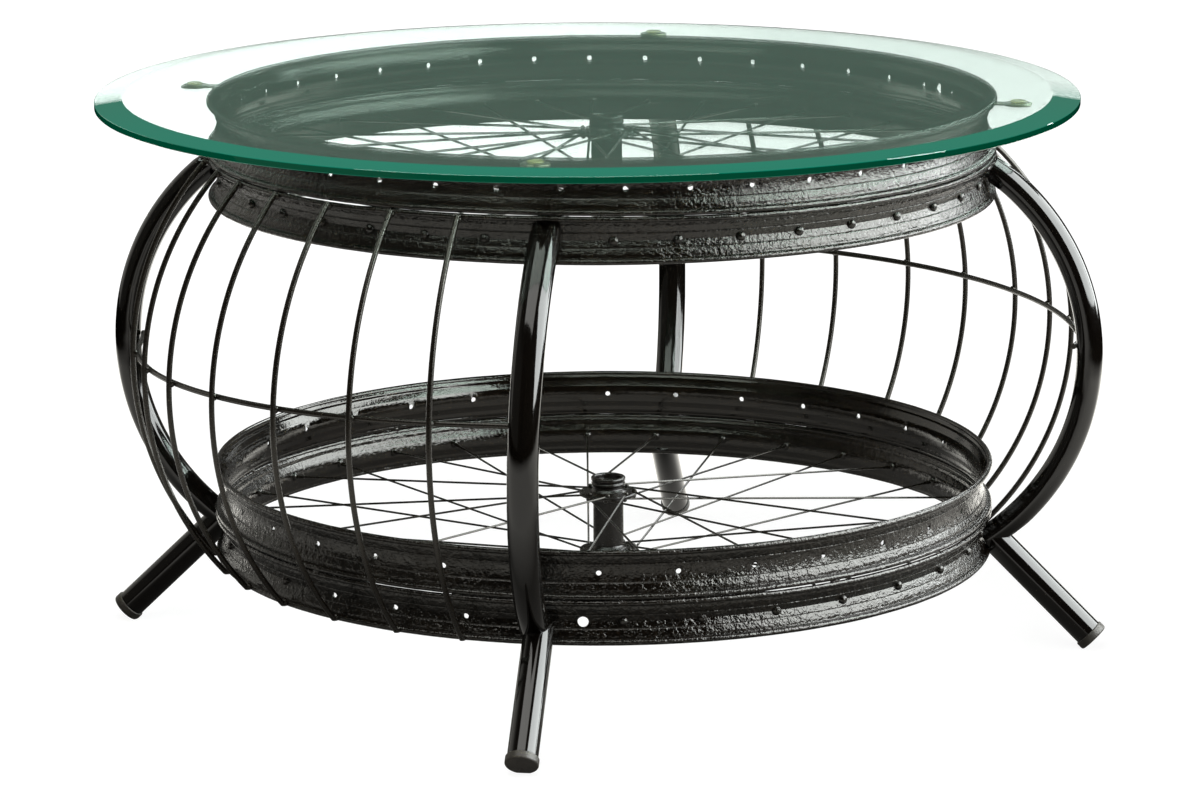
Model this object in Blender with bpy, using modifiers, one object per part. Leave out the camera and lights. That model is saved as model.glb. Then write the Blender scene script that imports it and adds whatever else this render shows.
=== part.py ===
"""Round coffee table built from four bicycle rims, two spoked hubs, bent tube legs and a loose glass top.

Metres, +Z up. The origin is on the floor under the wheel axis. The legs stand near the axes: the front leg
near -Y, the right one near +X. Azimuths are in degrees from -Y, positive towards +X.
"""

import math

import bmesh
import bpy
from mathutils import Matrix, Vector

# Fits
CLEARANCE = 0.0003
SINK = 0.0010

# Wheel rims
RIM_RADIUS = 0.3214
RIM_WIDTH = 0.0350
WIDE_RIM_WIDTH = 0.0386
RIM_BEAD_DEPTH = 0.0056
RIM_BEAD_CORNER = 0.0010
RIM_BEAD_WIDTH = 0.0042
RIM_SHOULDER_DEPTH = 0.0050
RIM_SHOULDER_WIDTH = 0.0082
RIM_CHANNEL_DEPTH = 0.0082
RIM_WALL = 0.0015
RIM_STEPS = 48
PAIR_GAP = 0.0016
LOWER_PAIR_BASE = 0.0775
UPPER_PAIR_BASE = 0.3741

# Holes and weld tacks of the rims
SPOKE_HOLE_DIAMETER = 0.0036
VALVE_HOLE_DIAMETER = 0.0062
HOLE_SIDES = 5
LOWER_SPOKES = 32
UPPER_SPOKES = 40
LOWER_EMPTY_PHASE = 7.05
LOWER_SPOKED_PHASE = -0.8
UPPER_EMPTY_PHASE = 0.75
UPPER_SPOKED_PHASE = 0.3
LOWER_VALVE_GAP = 0
LOWER_BARE_HOLES = (27, 29, 30, 31)
UPPER_VALVE_GAP = 13
TACK_LENGTH = 0.0090
TACK_DEPTH = 0.0034
LOWER_TACKS = (-102, -37, -13, 42, 88, 133, 178, 223)
UPPER_TACKS = (-70, -23, 27, 75, 120, 165, 210, 255)

# Hubs and spokes
HUB_LENGTH = 0.0770
HUB_RADIUS = 0.0126
HUB_WALL = 0.0020
HUB_STEPS = 14
FLANGE_RADIUS = 0.0240
FLANGE_THICKNESS = 0.0030
FLANGE_SPACING = 0.0485
FLANGE_HOLE_RADIUS = 0.0215
CUP_LIP_RADIUS = 0.0143
CUP_LIP_HEIGHT = 0.0060
CUP_LIP_CHAMFER = 0.0014
CUP_MOUTH_RADIUS = 0.0108
CUP_MOUTH_DEPTH = 0.0045
CUP_SPIGOT_LENGTH = 0.0100
CUP_BORE_RADIUS = 0.0080
LOWER_SPOKE_DIAMETER = 0.0016
UPPER_SPOKE_DIAMETER = 0.0022
SPOKE_LEAD = 54.0
LOWER_HUB_TURN = -6.0
UPPER_HUB_TURN = 0.0
SPOKE_SIDES = 3
SPOKE_FULLNESS = 0.62
SPOKE_SIDE_STEP = 0.0008

# Legs and feet
LEG_DIAMETER = 0.0226
LEG_WALL = 0.0015
LEG_BULGE_RADIUS = 0.3995
LEG_BULGE_HEIGHT = 0.2429
LEG_HALF_HEIGHT = 0.1524
LEG_CUT_MARGIN = math.radians(14)
LEG_SEGMENTS = 11
TUBE_SIDES = 10
FOOT_SLOPE = math.radians(44)
FOOT_TOP_STEP = 0.0011
CAP_DIAMETER = 0.0245
CAP_HEAD = 0.0070
CAP_PLUG = 0.0120
CAP_FLAT = 0.0017

# Ribs and the rods that tie them
RIB_DIAMETER = 0.0043
RIB_SEGMENTS = 8
ROD_SIDES = 6
TIE_SEGMENTS = 16
TIE_FLARE = 6.0

# Glass top and its supports
GLASS_RADIUS = 0.4000
GLASS_THICKNESS = 0.0080
GLASS_BEVEL_WIDTH = 0.0225
GLASS_BEVEL_DROP = 0.0027
GLASS_SHIFT = (-0.0115, -0.0016)
GLASS_STEPS = 60
TAB_RADIUS = 0.0115
TAB_THICKNESS = 0.0020
TAB_REACH = 0.0186
TAB_NECK_WIDTH = 0.0090
TAB_DROP = 0.0010
PAD_RADIUS = 0.0065
PAD_THICKNESS = 0.0018
ROUND_SIDES = 12

# Each side's leg azimuth, the leg's lean towards the next side, and the azimuth of its glass support
SIDES = {
    "front": (-0.8, 1.8, -0.6),
    "right": (91.2, 0.0, 86.9),
    "back": (178.7, 0.7, 180.0),
    "left": (270.7, 0.0, 269.1),
}

# The two ribbed bays: how far their ribs bulge less than the legs, and the ribs' azimuths, set by eye
RIB_INSETS = {"front_left": 0.0135, "back_right": 0.0025}
RIB_AZIMUTHS = {
    "front_left": (285, 296, 305.5, 316, 327, 337.5, 348),
    "back_right": (106.5, 116, 125, 135, 145.5, 156, 166.5),
}

# Each bay's tie runs from one leg at a height to another leg at a height
TIE_ENDS = {
    "front_left": (("left", 0.243), ("front", 0.264)),
    "back_right": (("right", 0.2595), ("back", 0.2595)),
}

# Each spoked wheel's hole count, first hole, turn of the hub, holes left bare, and spoke diameter
WHEELS = {
    "lower": (LOWER_SPOKES, LOWER_SPOKED_PHASE, LOWER_HUB_TURN, LOWER_BARE_HOLES, LOWER_SPOKE_DIAMETER),
    "upper": (UPPER_SPOKES, UPPER_SPOKED_PHASE, UPPER_HUB_TURN, (), UPPER_SPOKE_DIAMETER),
}

# Sizes that follow from those above
LOWER_SPOKED_TOP = LOWER_PAIR_BASE + RIM_WIDTH
UPPER_SPOKED_TOP = UPPER_PAIR_BASE + RIM_WIDTH
UPPER_PAIR_TOP = UPPER_SPOKED_TOP + PAIR_GAP + WIDE_RIM_WIDTH
TAB_TOP = UPPER_PAIR_TOP - TAB_DROP
PAD_BASE = TAB_TOP + CLEARANCE
GLASS_BASE = PAD_BASE + PAD_THICKNESS + CLEARANCE
TAB_CENTRE_RADIUS = RIM_RADIUS + TAB_REACH
LEG_BULGE = LEG_BULGE_RADIUS - RIM_RADIUS
LEG_ARC_RADIUS = (LEG_HALF_HEIGHT**2 + LEG_BULGE**2) / (2 * LEG_BULGE)
FOOT_TOP_RADIUS = RIM_RADIUS + FOOT_TOP_STEP
FOOT_TOP_HEIGHT = LEG_BULGE_HEIGHT - LEG_HALF_HEIGHT
CAP_RADIUS = CAP_DIAMETER / 2
RIB_RADIUS = RIB_DIAMETER / 2
LEG_RADIUS = LEG_DIAMETER / 2

# Colours as base colour, roughness, metallic
PAINTS = {
    "rim_paint": ((0.012, 0.010, 0.008), 0.22, 0.0),
    "tube_paint": ((0.010, 0.009, 0.007), 0.14, 0.0),
    "rod_paint": ((0.014, 0.011, 0.009), 0.20, 0.0),
    "hub_paint": ((0.012, 0.010, 0.009), 0.30, 0.0),
    "tab_steel": ((0.180, 0.170, 0.140), 0.35, 1.0),
    "pad_plastic": ((0.550, 0.520, 0.220), 0.25, 0.0),
    "cap_plastic": ((0.060, 0.052, 0.042), 0.45, 0.0),
    "glass": ((0.620, 0.820, 0.740), 0.03, 0.0),
}


def clear_scene():
    for old in list(bpy.data.objects):
        bpy.data.objects.remove(old, do_unlink=True)


def make_materials():
    made = {}
    for name, (colour, roughness, metallic) in PAINTS.items():
        material = bpy.data.materials.new(name)
        material.use_nodes = True
        shader = material.node_tree.nodes["Principled BSDF"]
        shader.inputs["Base Color"].default_value = (*colour, 1.0)
        shader.inputs["Roughness"].default_value = roughness
        shader.inputs["Metallic"].default_value = metallic
        if name == "glass":
            shader.inputs["Transmission Weight"].default_value = 1.0
            shader.inputs["IOR"].default_value = 1.52
        made[name] = material
    return made


def turn_of(azimuth):
    """The turn about Z that takes local +X to an azimuth."""
    return math.radians(azimuth - 90)


def at_azimuth(radius, azimuth, height):
    turn = turn_of(azimuth)
    return Vector((radius * math.cos(turn), radius * math.sin(turn), height))


def add_object(name, data, collection, material=None):
    obj = bpy.data.objects.new(name, data)
    collection.objects.link(obj)
    if material is not None and not data.materials:
        data.materials.append(material)
    return obj


def add_part(name, data, material):
    obj = add_object(name, data, parts, material)
    obj.parent = frame_empty
    return obj


def add_cutter(name, data):
    obj = add_object(name, data, cutters)
    obj.hide_render = True
    obj.display_type = "WIRE"
    return obj


def smooth(mesh):
    mesh.shade_smooth()
    mesh.set_sharp_from_angle(angle=math.radians(40))
    return mesh


def evaluated_mesh(obj):
    """The object's shape with its modifiers, as a welded mesh."""
    bpy.context.view_layer.update()
    graph = bpy.context.evaluated_depsgraph_get()
    mesh = bpy.data.meshes.new_from_object(obj.evaluated_get(graph))
    work = bmesh.new()
    work.from_mesh(mesh)
    bmesh.ops.remove_doubles(work, verts=work.verts, dist=0.00001)
    work.to_mesh(mesh)
    work.free()
    return mesh


def baked(obj):
    """As evaluated_mesh, and the object itself goes."""
    mesh = evaluated_mesh(obj)
    bpy.data.objects.remove(obj, do_unlink=True)
    return smooth(mesh)


def boolean(obj, other, operation):
    modifier = obj.modifiers.new(other.name, "BOOLEAN")
    modifier.operation = operation
    modifier.solver = "EXACT"
    modifier.object = other


def profile_mesh(name, points, closed):
    """A profile in the XZ plane, as edges for a Screw."""
    work = bmesh.new()
    corners = [work.verts.new((radius, 0.0, height)) for radius, height in points]
    for first, second in zip(corners, corners[1:]):
        work.edges.new((first, second))
    if closed:
        work.edges.new((corners[-1], corners[0]))
    mesh = bpy.data.meshes.new(name)
    work.to_mesh(mesh)
    work.free()
    return mesh


def turned(name, points, steps, closed=True):
    """A profile turned about Z, as a mesh."""
    holder = add_cutter(name + "_profile", profile_mesh(name, points, closed))
    screw = holder.modifiers.new("turn", "SCREW")
    screw.steps = steps
    screw.render_steps = steps
    screw.use_merge_vertices = True
    screw.merge_threshold = 0.0001
    return baked(holder)


def rods_mesh(name, ends, radius, sides):
    """Straight rods from point to point, as one mesh."""
    work = bmesh.new()
    for start, end in ends:
        along = end - start
        place = Matrix.Translation((start + end) / 2) @ along.to_track_quat("Z", "Y").to_matrix().to_4x4()
        bmesh.ops.create_cone(
            work,
            cap_ends=True,
            segments=sides,
            radius1=radius,
            radius2=radius,
            depth=along.length,
            matrix=place,
        )
    mesh = bpy.data.meshes.new(name)
    work.to_mesh(mesh)
    work.free()
    return mesh


def box_mesh(name, low, high):
    work = bmesh.new()
    bmesh.ops.create_cube(work, size=1.0)
    for corner in work.verts:
        for axis in range(3):
            corner.co[axis] = low[axis] if corner.co[axis] < 0 else high[axis]
    mesh = bpy.data.meshes.new(name)
    work.to_mesh(mesh)
    work.free()
    return mesh


def wire_curve(name, points, diameter, sides, capped=True):
    curve = bpy.data.curves.new(name, "CURVE")
    curve.dimensions = "3D"
    curve.bevel_depth = diameter / 2
    curve.bevel_resolution = (sides - 4) // 2
    curve.use_fill_caps = capped
    line = curve.splines.new("POLY")
    line.points.add(len(points) - 1)
    for knot, point in zip(line.points, points):
        knot.co = (*point, 1.0)
    line.use_smooth = True
    return curve


def arc_points(bulge_radius, bulge_height, arc_radius, half_angle, segments):
    """Points of an upright arc in the local XZ plane, bulging to +X."""
    points = []
    for step in range(segments + 1):
        angle = half_angle * (1 - 2 * step / segments)
        radius = bulge_radius - arc_radius * (1 - math.cos(angle))
        points.append(Vector((radius, 0.0, bulge_height + arc_radius * math.sin(angle))))
    return points


def radius_at(points, height):
    """The distance from the wheel axis, at a height, of a bent line's straight stretch there."""
    upper, lower = next(pair for pair in zip(points, points[1:]) if pair[1].z <= height)
    return lower.x + (upper.x - lower.x) * (height - lower.z) / (upper.z - lower.z)


# Rims

def rim_section(width):
    """The rolled section, from the top bead down the outer side and back up the inner one."""
    half = width / 2
    bed = RIM_RADIUS - RIM_CHANNEL_DEPTH
    upper = [
        (RIM_RADIUS - RIM_BEAD_DEPTH, half),
        (RIM_RADIUS - RIM_BEAD_CORNER, half),
        (RIM_RADIUS, half - RIM_BEAD_WIDTH),
        (RIM_RADIUS - RIM_SHOULDER_DEPTH, half - RIM_SHOULDER_WIDTH),
    ]
    lower = [(radius, -height) for radius, height in reversed(upper)]
    return upper + [(bed, 0.0)] + lower + [(bed - RIM_WALL, 0.0)]


def hole_cutter(name, azimuths, diameter):
    inner = RIM_RADIUS - 4 * RIM_CHANNEL_DEPTH
    outer = RIM_RADIUS + RIM_CHANNEL_DEPTH
    ends = [(at_azimuth(inner, azimuth, 0.0), at_azimuth(outer, azimuth, 0.0)) for azimuth in azimuths]
    return add_cutter(name, rods_mesh(name, ends, diameter / 2, HOLE_SIDES))


def spoke_azimuths(count, phase):
    return [phase + 360 * number / count for number in range(count)]


def valve_azimuth(count, phase, gap):
    """The valve hole lies midway between two spoke holes."""
    return phase + 360 * (gap + 0.5) / count


def tack_mesh(name, azimuths, width):
    """Weld beads that bridge the gap above a rim."""
    work = bmesh.new()
    base = width / 2 - SINK
    top = width / 2 + PAIR_GAP - CLEARANCE
    middle = RIM_RADIUS - RIM_BEAD_CORNER - TACK_DEPTH / 2
    for azimuth in azimuths:
        turn = Matrix.Rotation(turn_of(azimuth), 4, "Z")
        place = turn @ Matrix.Translation((middle, 0.0, (base + top) / 2))
        size = Matrix.Diagonal((TACK_DEPTH, TACK_LENGTH, top - base, 1.0))
        bmesh.ops.create_cube(work, size=1.0, matrix=place @ size)
    mesh = bpy.data.meshes.new(name)
    work.to_mesh(mesh)
    work.free()
    return mesh


def add_rim(name, width, height, hole_azimuths, valve, tacks):
    rim = add_part(name, turned(name, rim_section(width), RIM_STEPS), paints["rim_paint"])
    rim.location.z = height
    helpers = []
    if tacks:
        helpers.append((add_cutter(name + "_tacks", tack_mesh(name + "_tacks", tacks, width)), "UNION"))
    if hole_azimuths:
        holes = hole_cutter(name + "_spoke_holes", hole_azimuths, SPOKE_HOLE_DIAMETER)
        helpers.append((holes, "DIFFERENCE"))
    if valve is not None:
        helpers.append((hole_cutter(name + "_valve_hole", [valve], VALVE_HOLE_DIAMETER), "DIFFERENCE"))
    for helper, operation in helpers:
        helper.location.z = height
        boolean(rim, helper, operation)


def add_rims():
    add_rim(
        "lower_spoked_rim",
        RIM_WIDTH,
        LOWER_PAIR_BASE + RIM_WIDTH / 2,
        [spoke_azimuths(LOWER_SPOKES, LOWER_SPOKED_PHASE)[number] for number in LOWER_BARE_HOLES],
        valve_azimuth(LOWER_SPOKES, LOWER_SPOKED_PHASE, LOWER_VALVE_GAP),
        LOWER_TACKS,
    )
    add_rim(
        "lower_empty_rim",
        WIDE_RIM_WIDTH,
        LOWER_SPOKED_TOP + PAIR_GAP + WIDE_RIM_WIDTH / 2,
        spoke_azimuths(LOWER_SPOKES, LOWER_EMPTY_PHASE),
        None,
        (),
    )
    add_rim("upper_spoked_rim", RIM_WIDTH, UPPER_PAIR_BASE + RIM_WIDTH / 2, [], None, UPPER_TACKS)
    add_rim(
        "upper_empty_rim",
        WIDE_RIM_WIDTH,
        UPPER_SPOKED_TOP + PAIR_GAP + WIDE_RIM_WIDTH / 2,
        spoke_azimuths(UPPER_SPOKES, UPPER_EMPTY_PHASE),
        valve_azimuth(UPPER_SPOKES, UPPER_EMPTY_PHASE, UPPER_VALVE_GAP),
        (),
    )


# Hubs and spokes

def ring_section(outer, inner, half):
    return [(outer, half), (outer, -half), (inner, -half), (inner, half)]


def spoke_line(rim_azimuth, hub_azimuth, flange_height):
    """Hub end and rim end of a spoke, about the wheel's centre."""
    reach = (RIM_RADIUS - RIM_CHANNEL_DEPTH - RIM_WALL) * math.cos(math.pi / RIM_STEPS) - 2 * CLEARANCE
    return at_azimuth(FLANGE_HOLE_RADIUS, hub_azimuth, flange_height), at_azimuth(reach, rim_azimuth, 0.0)


def flange_spokes(wheel, flange):
    """Forward and backward spokes of one flange; flange is 0 for the top one and 1 for the bottom one."""
    count, phase, turn, bare, _ = WHEELS[wheel]
    level = FLANGE_SPACING / 2 if flange == 0 else -FLANGE_SPACING / 2
    forward, backward = [], []
    for number, azimuth in enumerate(spoke_azimuths(count, phase)):
        if number % 2 != flange or number in bare:
            continue
        if number % 4 < 2:
            forward.append(spoke_line(azimuth, azimuth + turn + SPOKE_LEAD, level + SPOKE_SIDE_STEP))
        else:
            backward.append(spoke_line(azimuth, azimuth + turn - SPOKE_LEAD, level - SPOKE_SIDE_STEP))
    return forward, backward


def add_flange(wheel, place, height):
    name = wheel + "_" + ("top", "bottom")[place] + "_flange_spokes"
    level = FLANGE_SPACING / 2 if place == 0 else -FLANGE_SPACING / 2
    half = FLANGE_THICKNESS / 2
    section = [
        (radius, level + rise) for radius, rise in ring_section(FLANGE_RADIUS, HUB_RADIUS + CLEARANCE, half)
    ]
    flange = add_part(name, turned(name, section, HUB_STEPS), paints["hub_paint"])
    flange.location.z = height
    forward, backward = flange_spokes(wheel, place)
    radius = SPOKE_FULLNESS * WHEELS[wheel][-1]
    for suffix, lines in (("_forward", forward), ("_backward", backward)):
        helper = add_cutter(name + suffix, rods_mesh(name + suffix, lines, radius, SPOKE_SIDES))
        helper.location.z = height
        boolean(flange, helper, "UNION")


def cup_section():
    spigot = HUB_RADIUS - HUB_WALL - CLEARANCE
    shelf = CUP_LIP_HEIGHT - CUP_MOUTH_DEPTH
    return [
        (CUP_LIP_RADIUS - CUP_LIP_CHAMFER, CUP_LIP_HEIGHT),
        (CUP_LIP_RADIUS, CUP_LIP_HEIGHT - CUP_LIP_CHAMFER),
        (CUP_LIP_RADIUS, 0.0),
        (spigot, 0.0),
        (spigot, -CUP_SPIGOT_LENGTH),
        (CUP_BORE_RADIUS, -CUP_SPIGOT_LENGTH),
        (CUP_BORE_RADIUS, shelf),
        (CUP_MOUTH_RADIUS, shelf),
        (CUP_MOUTH_RADIUS, CUP_LIP_HEIGHT),
    ]


def add_hub(wheel, height):
    half = HUB_LENGTH / 2 - CUP_LIP_HEIGHT - CLEARANCE
    section = ring_section(HUB_RADIUS, HUB_RADIUS - HUB_WALL, half)
    name = wheel + "_hub_barrel"
    barrel = add_part(name, turned(name, section, HUB_STEPS), paints["hub_paint"])
    barrel.location.z = height
    cup = turned(wheel + "_hub_cup", cup_section(), HUB_STEPS)
    for place, side in (("top", 1), ("bottom", -1)):
        end = add_part(f"{wheel}_hub_{place}_cup", cup, paints["hub_paint"])
        end.location.z = height + side * (half + CLEARANCE)
        end.rotation_euler.x = 0.0 if side > 0 else math.pi
    for place in (0, 1):
        add_flange(wheel, place, height)


# Legs and feet

def leg_points(lean):
    """The leg's bent line in its side's frame, run on past the rims for a clean cut."""
    half_angle = math.acos(1 - LEG_BULGE / LEG_ARC_RADIUS) + LEG_CUT_MARGIN
    points = arc_points(LEG_BULGE_RADIUS, LEG_BULGE_HEIGHT, LEG_ARC_RADIUS, half_angle, LEG_SEGMENTS)
    for point in points:
        point.y = lean_shift(lean, point.z)
    return points


def lean_shift(lean, height):
    """How far a leaning side stands aside at a height."""
    return (height - LEG_BULGE_HEIGHT) * math.tan(math.radians(lean))


def rim_cutter():
    """The round space of the rims, which ends tubes and plates on the rims' outer beads."""
    ends = [(Vector((0.0, 0.0, -LEG_DIAMETER)), Vector((0.0, 0.0, GLASS_BASE + LEG_DIAMETER)))]
    return add_cutter("rim_space", rods_mesh("rim_space", ends, RIM_RADIUS + CLEARANCE, RIM_STEPS))


def slab_cutter(name, low, high):
    """The space between two heights, wider than the table."""
    reach = LEG_BULGE_RADIUS + LEG_DIAMETER
    return add_cutter(name, box_mesh(name, (-reach, -reach, low), (reach, reach, high)))


def tube_part(name, points, side):
    """A hollow tube along a line of its side's frame."""
    skin = wire_curve(name + "_line", points, LEG_DIAMETER, TUBE_SIDES, capped=False)
    tube = add_part(name, baked(add_cutter(name + "_line", skin)), paints["tube_paint"])
    tube.parent = side
    wall = tube.modifiers.new("wall", "SOLIDIFY")
    wall.thickness = LEG_WALL
    wall.offset = -1.0
    wall.use_even_offset = True
    return tube


def foot_axis(lean):
    """Top of the foot tube in its side's frame, its outward direction, and its length to the cap's end."""
    direction = Vector((math.cos(FOOT_SLOPE), 0.0, -math.sin(FOOT_SLOPE)))
    top = Vector((FOOT_TOP_RADIUS, lean_shift(lean, FOOT_TOP_HEIGHT), FOOT_TOP_HEIGHT))
    end_height = CAP_RADIUS * math.cos(FOOT_SLOPE) - CAP_FLAT
    return top, direction, (top.z - end_height) / math.sin(FOOT_SLOPE)


def cap_section():
    """Head below, plug above, along the foot's own axis with the cap's end at zero."""
    plug = (LEG_RADIUS - LEG_WALL) * math.cos(math.pi / TUBE_SIDES) - CLEARANCE
    edge = CAP_HEAD / 5
    return [
        (0.0, CAP_HEAD + CAP_PLUG),
        (plug, CAP_HEAD + CAP_PLUG),
        (plug, CAP_HEAD),
        (CAP_RADIUS - edge, CAP_HEAD),
        (CAP_RADIUS, CAP_HEAD - edge),
        (CAP_RADIUS, edge),
        (CAP_RADIUS - edge, 0.0),
        (0.0, 0.0),
    ]


def add_side(name, azimuth, lean, cap, rim_space, above, floor):
    """One leg, its foot and the foot's cap, in the frame of their side."""
    side = add_object(name + "_side", None, parts)
    side.parent = frame_empty
    side.rotation_euler.z = turn_of(azimuth)
    leg = tube_part(name + "_leg", leg_points(lean), side)
    boolean(leg, rim_space, "DIFFERENCE")
    boolean(leg, above, "DIFFERENCE")

    top, direction, length = foot_axis(lean)
    foot = tube_part(name + "_foot", [top, top + direction * (length - CAP_HEAD - CLEARANCE)], side)
    around_leg = name + "_leg_space"
    line = wire_curve(around_leg, leg_points(lean), LEG_DIAMETER + 2 * CLEARANCE, TUBE_SIDES)
    leg_space = add_cutter(around_leg, baked(add_cutter(around_leg + "_line", line)))
    leg_space.parent = side
    boolean(foot, leg_space, "DIFFERENCE")
    boolean(foot, rim_space, "DIFFERENCE")

    end = add_part(name + "_foot_cap", cap, paints["cap_plastic"])
    end.parent = side
    end.location = top + direction * length
    end.rotation_euler = (-direction).to_track_quat("Z", "Y").to_euler()
    boolean(end, floor, "DIFFERENCE")


def add_sides(rim_space):
    above = slab_cutter("above_legs", UPPER_SPOKED_TOP, GLASS_BASE + LEG_ARC_RADIUS)
    floor = slab_cutter("floor", -CAP_DIAMETER, 0.0)
    cap = turned("foot_cap", cap_section(), TUBE_SIDES, closed=False)
    for name, (azimuth, lean, _) in SIDES.items():
        add_side(name, azimuth, lean, cap, rim_space, above, floor)


# Ribs and ties

def rib_points(bay):
    """An arc, top to bottom, that runs into the rims' space at the outer edges of the spoked rims."""
    half_height = (UPPER_SPOKED_TOP - LOWER_PAIR_BASE) / 2
    middle = (UPPER_SPOKED_TOP + LOWER_PAIR_BASE) / 2
    bulge = LEG_BULGE - RIB_INSETS[bay]
    arc_radius = (half_height**2 + bulge**2) / (2 * bulge)
    half_angle = math.asin(half_height / arc_radius)
    return arc_points(RIM_RADIUS + bulge, middle, arc_radius, half_angle, RIB_SEGMENTS)


def tie_points(bay):
    """An arc inside the ribs from leg to leg, bent at both ends to lie against the legs."""
    (first, start_height), (last, end_height) = TIE_ENDS[bay]
    start = SIDES[first][0]
    span = (SIDES[last][0] - start) % 360
    rib = rib_points(bay)
    leg = leg_points(0.0)
    points = []
    for step in range(TIE_SEGMENTS + 1):
        share = step / TIE_SEGMENTS
        height = start_height + (end_height - start_height) * share
        inside_ribs = radius_at(rib, height) - RIB_DIAMETER - CLEARANCE
        inside_leg = radius_at(leg, height) - LEG_RADIUS - RIB_RADIUS - CLEARANCE
        flare = max(0.0, 1 - span * min(share, 1 - share) / TIE_FLARE)
        radius = inside_ribs + (inside_leg - inside_ribs) * flare**2
        points.append(at_azimuth(radius, start + span * share, height))
    return points


def add_ribs(rim_space):
    for bay, azimuths in RIB_AZIMUTHS.items():
        line = wire_curve(bay + "_rib", rib_points(bay), RIB_DIAMETER, ROD_SIDES)
        rib = baked(add_cutter(bay + "_rib_line", line))
        for number, azimuth in enumerate(azimuths, 1):
            obj = add_part(f"{bay}_rib_{number}", rib, paints["rod_paint"])
            obj.rotation_euler.z = turn_of(azimuth)
            boolean(obj, rim_space, "DIFFERENCE")
        tie = wire_curve(bay + "_tie", tie_points(bay), RIB_DIAMETER, ROD_SIDES)
        add_part(bay + "_tie", tie, paints["rod_paint"])


# Glass and its supports

def tab_mesh():
    """A round plate with a neck that runs into the rims' space, where the bead's outside then ends it."""
    half = TAB_NECK_WIDTH / 2
    start = math.asin(half / TAB_RADIUS)
    inner = RIM_RADIUS - TAB_RADIUS
    outline = [(inner, half)]
    for step in range(ROUND_SIDES + 1):
        angle = math.pi - start - (2 * math.pi - 2 * start) * step / ROUND_SIDES
        outline.append((TAB_CENTRE_RADIUS + TAB_RADIUS * math.cos(angle), TAB_RADIUS * math.sin(angle)))
    outline.append((inner, -half))
    curve = bpy.data.curves.new("support_tab", "CURVE")
    curve.dimensions = "2D"
    curve.fill_mode = "BOTH"
    curve.extrude = TAB_THICKNESS / 2
    line = curve.splines.new("POLY")
    line.points.add(len(outline) - 1)
    for knot, (x, y) in zip(line.points, outline):
        knot.co = (x, y, 0.0, 1.0)
    line.use_cyclic_u = True
    return baked(add_cutter("support_tab_outline", curve))


def add_supports(rim_space):
    tab = tab_mesh()
    pad = turned(
        "glass_pad",
        [
            (0.0, PAD_THICKNESS),
            (PAD_RADIUS - PAD_THICKNESS / 2, PAD_THICKNESS),
            (PAD_RADIUS, PAD_THICKNESS / 2),
            (PAD_RADIUS, 0.0),
            (0.0, 0.0),
        ],
        ROUND_SIDES,
        closed=False,
    )
    for side, (_, _, azimuth) in SIDES.items():
        plate = add_part(side + "_support_tab", tab, paints["tab_steel"])
        plate.location.z = TAB_TOP - TAB_THICKNESS / 2
        plate.rotation_euler.z = turn_of(azimuth)
        boolean(plate, rim_space, "DIFFERENCE")
        rest = add_part(side + "_glass_pad", pad, paints["pad_plastic"])
        rest.location = at_azimuth(TAB_CENTRE_RADIUS, azimuth, PAD_BASE)


def add_glass():
    disc = turned(
        "glass_top",
        [
            (0.0, GLASS_THICKNESS),
            (GLASS_RADIUS - GLASS_BEVEL_WIDTH, GLASS_THICKNESS),
            (GLASS_RADIUS, GLASS_THICKNESS - GLASS_BEVEL_DROP),
            (GLASS_RADIUS, 0.0),
            (0.0, 0.0),
        ],
        GLASS_STEPS,
        closed=False,
    )
    obj = add_object("glass_top", disc, parts, paints["glass"])
    obj.parent = glass_empty


clear_scene()
parts = bpy.data.collections.new("bicycle_wheel_coffee_table")
cutters = bpy.data.collections.new("cutters")
bpy.context.scene.collection.children.link(parts)
bpy.context.scene.collection.children.link(cutters)
paints = make_materials()
frame_empty = add_object("frame", None, parts)
glass_empty = add_object("glass", None, parts)
glass_empty.location = (*GLASS_SHIFT, GLASS_BASE)

add_rims()
add_hub("lower", LOWER_PAIR_BASE + RIM_WIDTH / 2)
add_hub("upper", UPPER_PAIR_BASE + RIM_WIDTH / 2)
rim_space = rim_cutter()
add_sides(rim_space)
add_ribs(rim_space)
add_supports(rim_space)
add_glass()
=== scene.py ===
"""Looks of the bicycle wheel coffee table.

Black enamel over old rims, wire spokes and bent tube, under a loose pane of green glass.
Metres, +Z up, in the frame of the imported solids. Azimuths are in degrees from -Y, positive towards +X.
"""

import math

import bmesh
import bpy
from mathutils import Matrix, Vector, noise


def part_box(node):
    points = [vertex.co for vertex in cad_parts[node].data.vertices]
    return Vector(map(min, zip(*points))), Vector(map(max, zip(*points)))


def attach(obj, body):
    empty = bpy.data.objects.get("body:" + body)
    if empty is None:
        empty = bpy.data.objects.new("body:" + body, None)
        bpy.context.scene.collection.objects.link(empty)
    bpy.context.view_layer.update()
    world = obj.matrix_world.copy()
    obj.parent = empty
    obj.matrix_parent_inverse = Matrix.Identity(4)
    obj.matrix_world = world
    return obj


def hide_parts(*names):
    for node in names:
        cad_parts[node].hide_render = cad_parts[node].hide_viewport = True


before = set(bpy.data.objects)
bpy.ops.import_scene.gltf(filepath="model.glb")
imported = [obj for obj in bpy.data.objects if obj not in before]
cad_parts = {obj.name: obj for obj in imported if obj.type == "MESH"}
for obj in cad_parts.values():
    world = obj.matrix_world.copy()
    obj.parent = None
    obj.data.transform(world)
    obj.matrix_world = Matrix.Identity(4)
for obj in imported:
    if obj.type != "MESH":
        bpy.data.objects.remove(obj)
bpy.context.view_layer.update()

# Rims: the section's steps are measured from the outer radius and from the upper edge
RIM_STEPS = 480
BEAD_RADIUS = 0.0023
OUTER_STEPS = ((0.0042, 0.0047), (0.0044, 0.0070), (0.0060, 0.0114), (0.0066, 0.0119), (0.0064, 0.0124))
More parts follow.
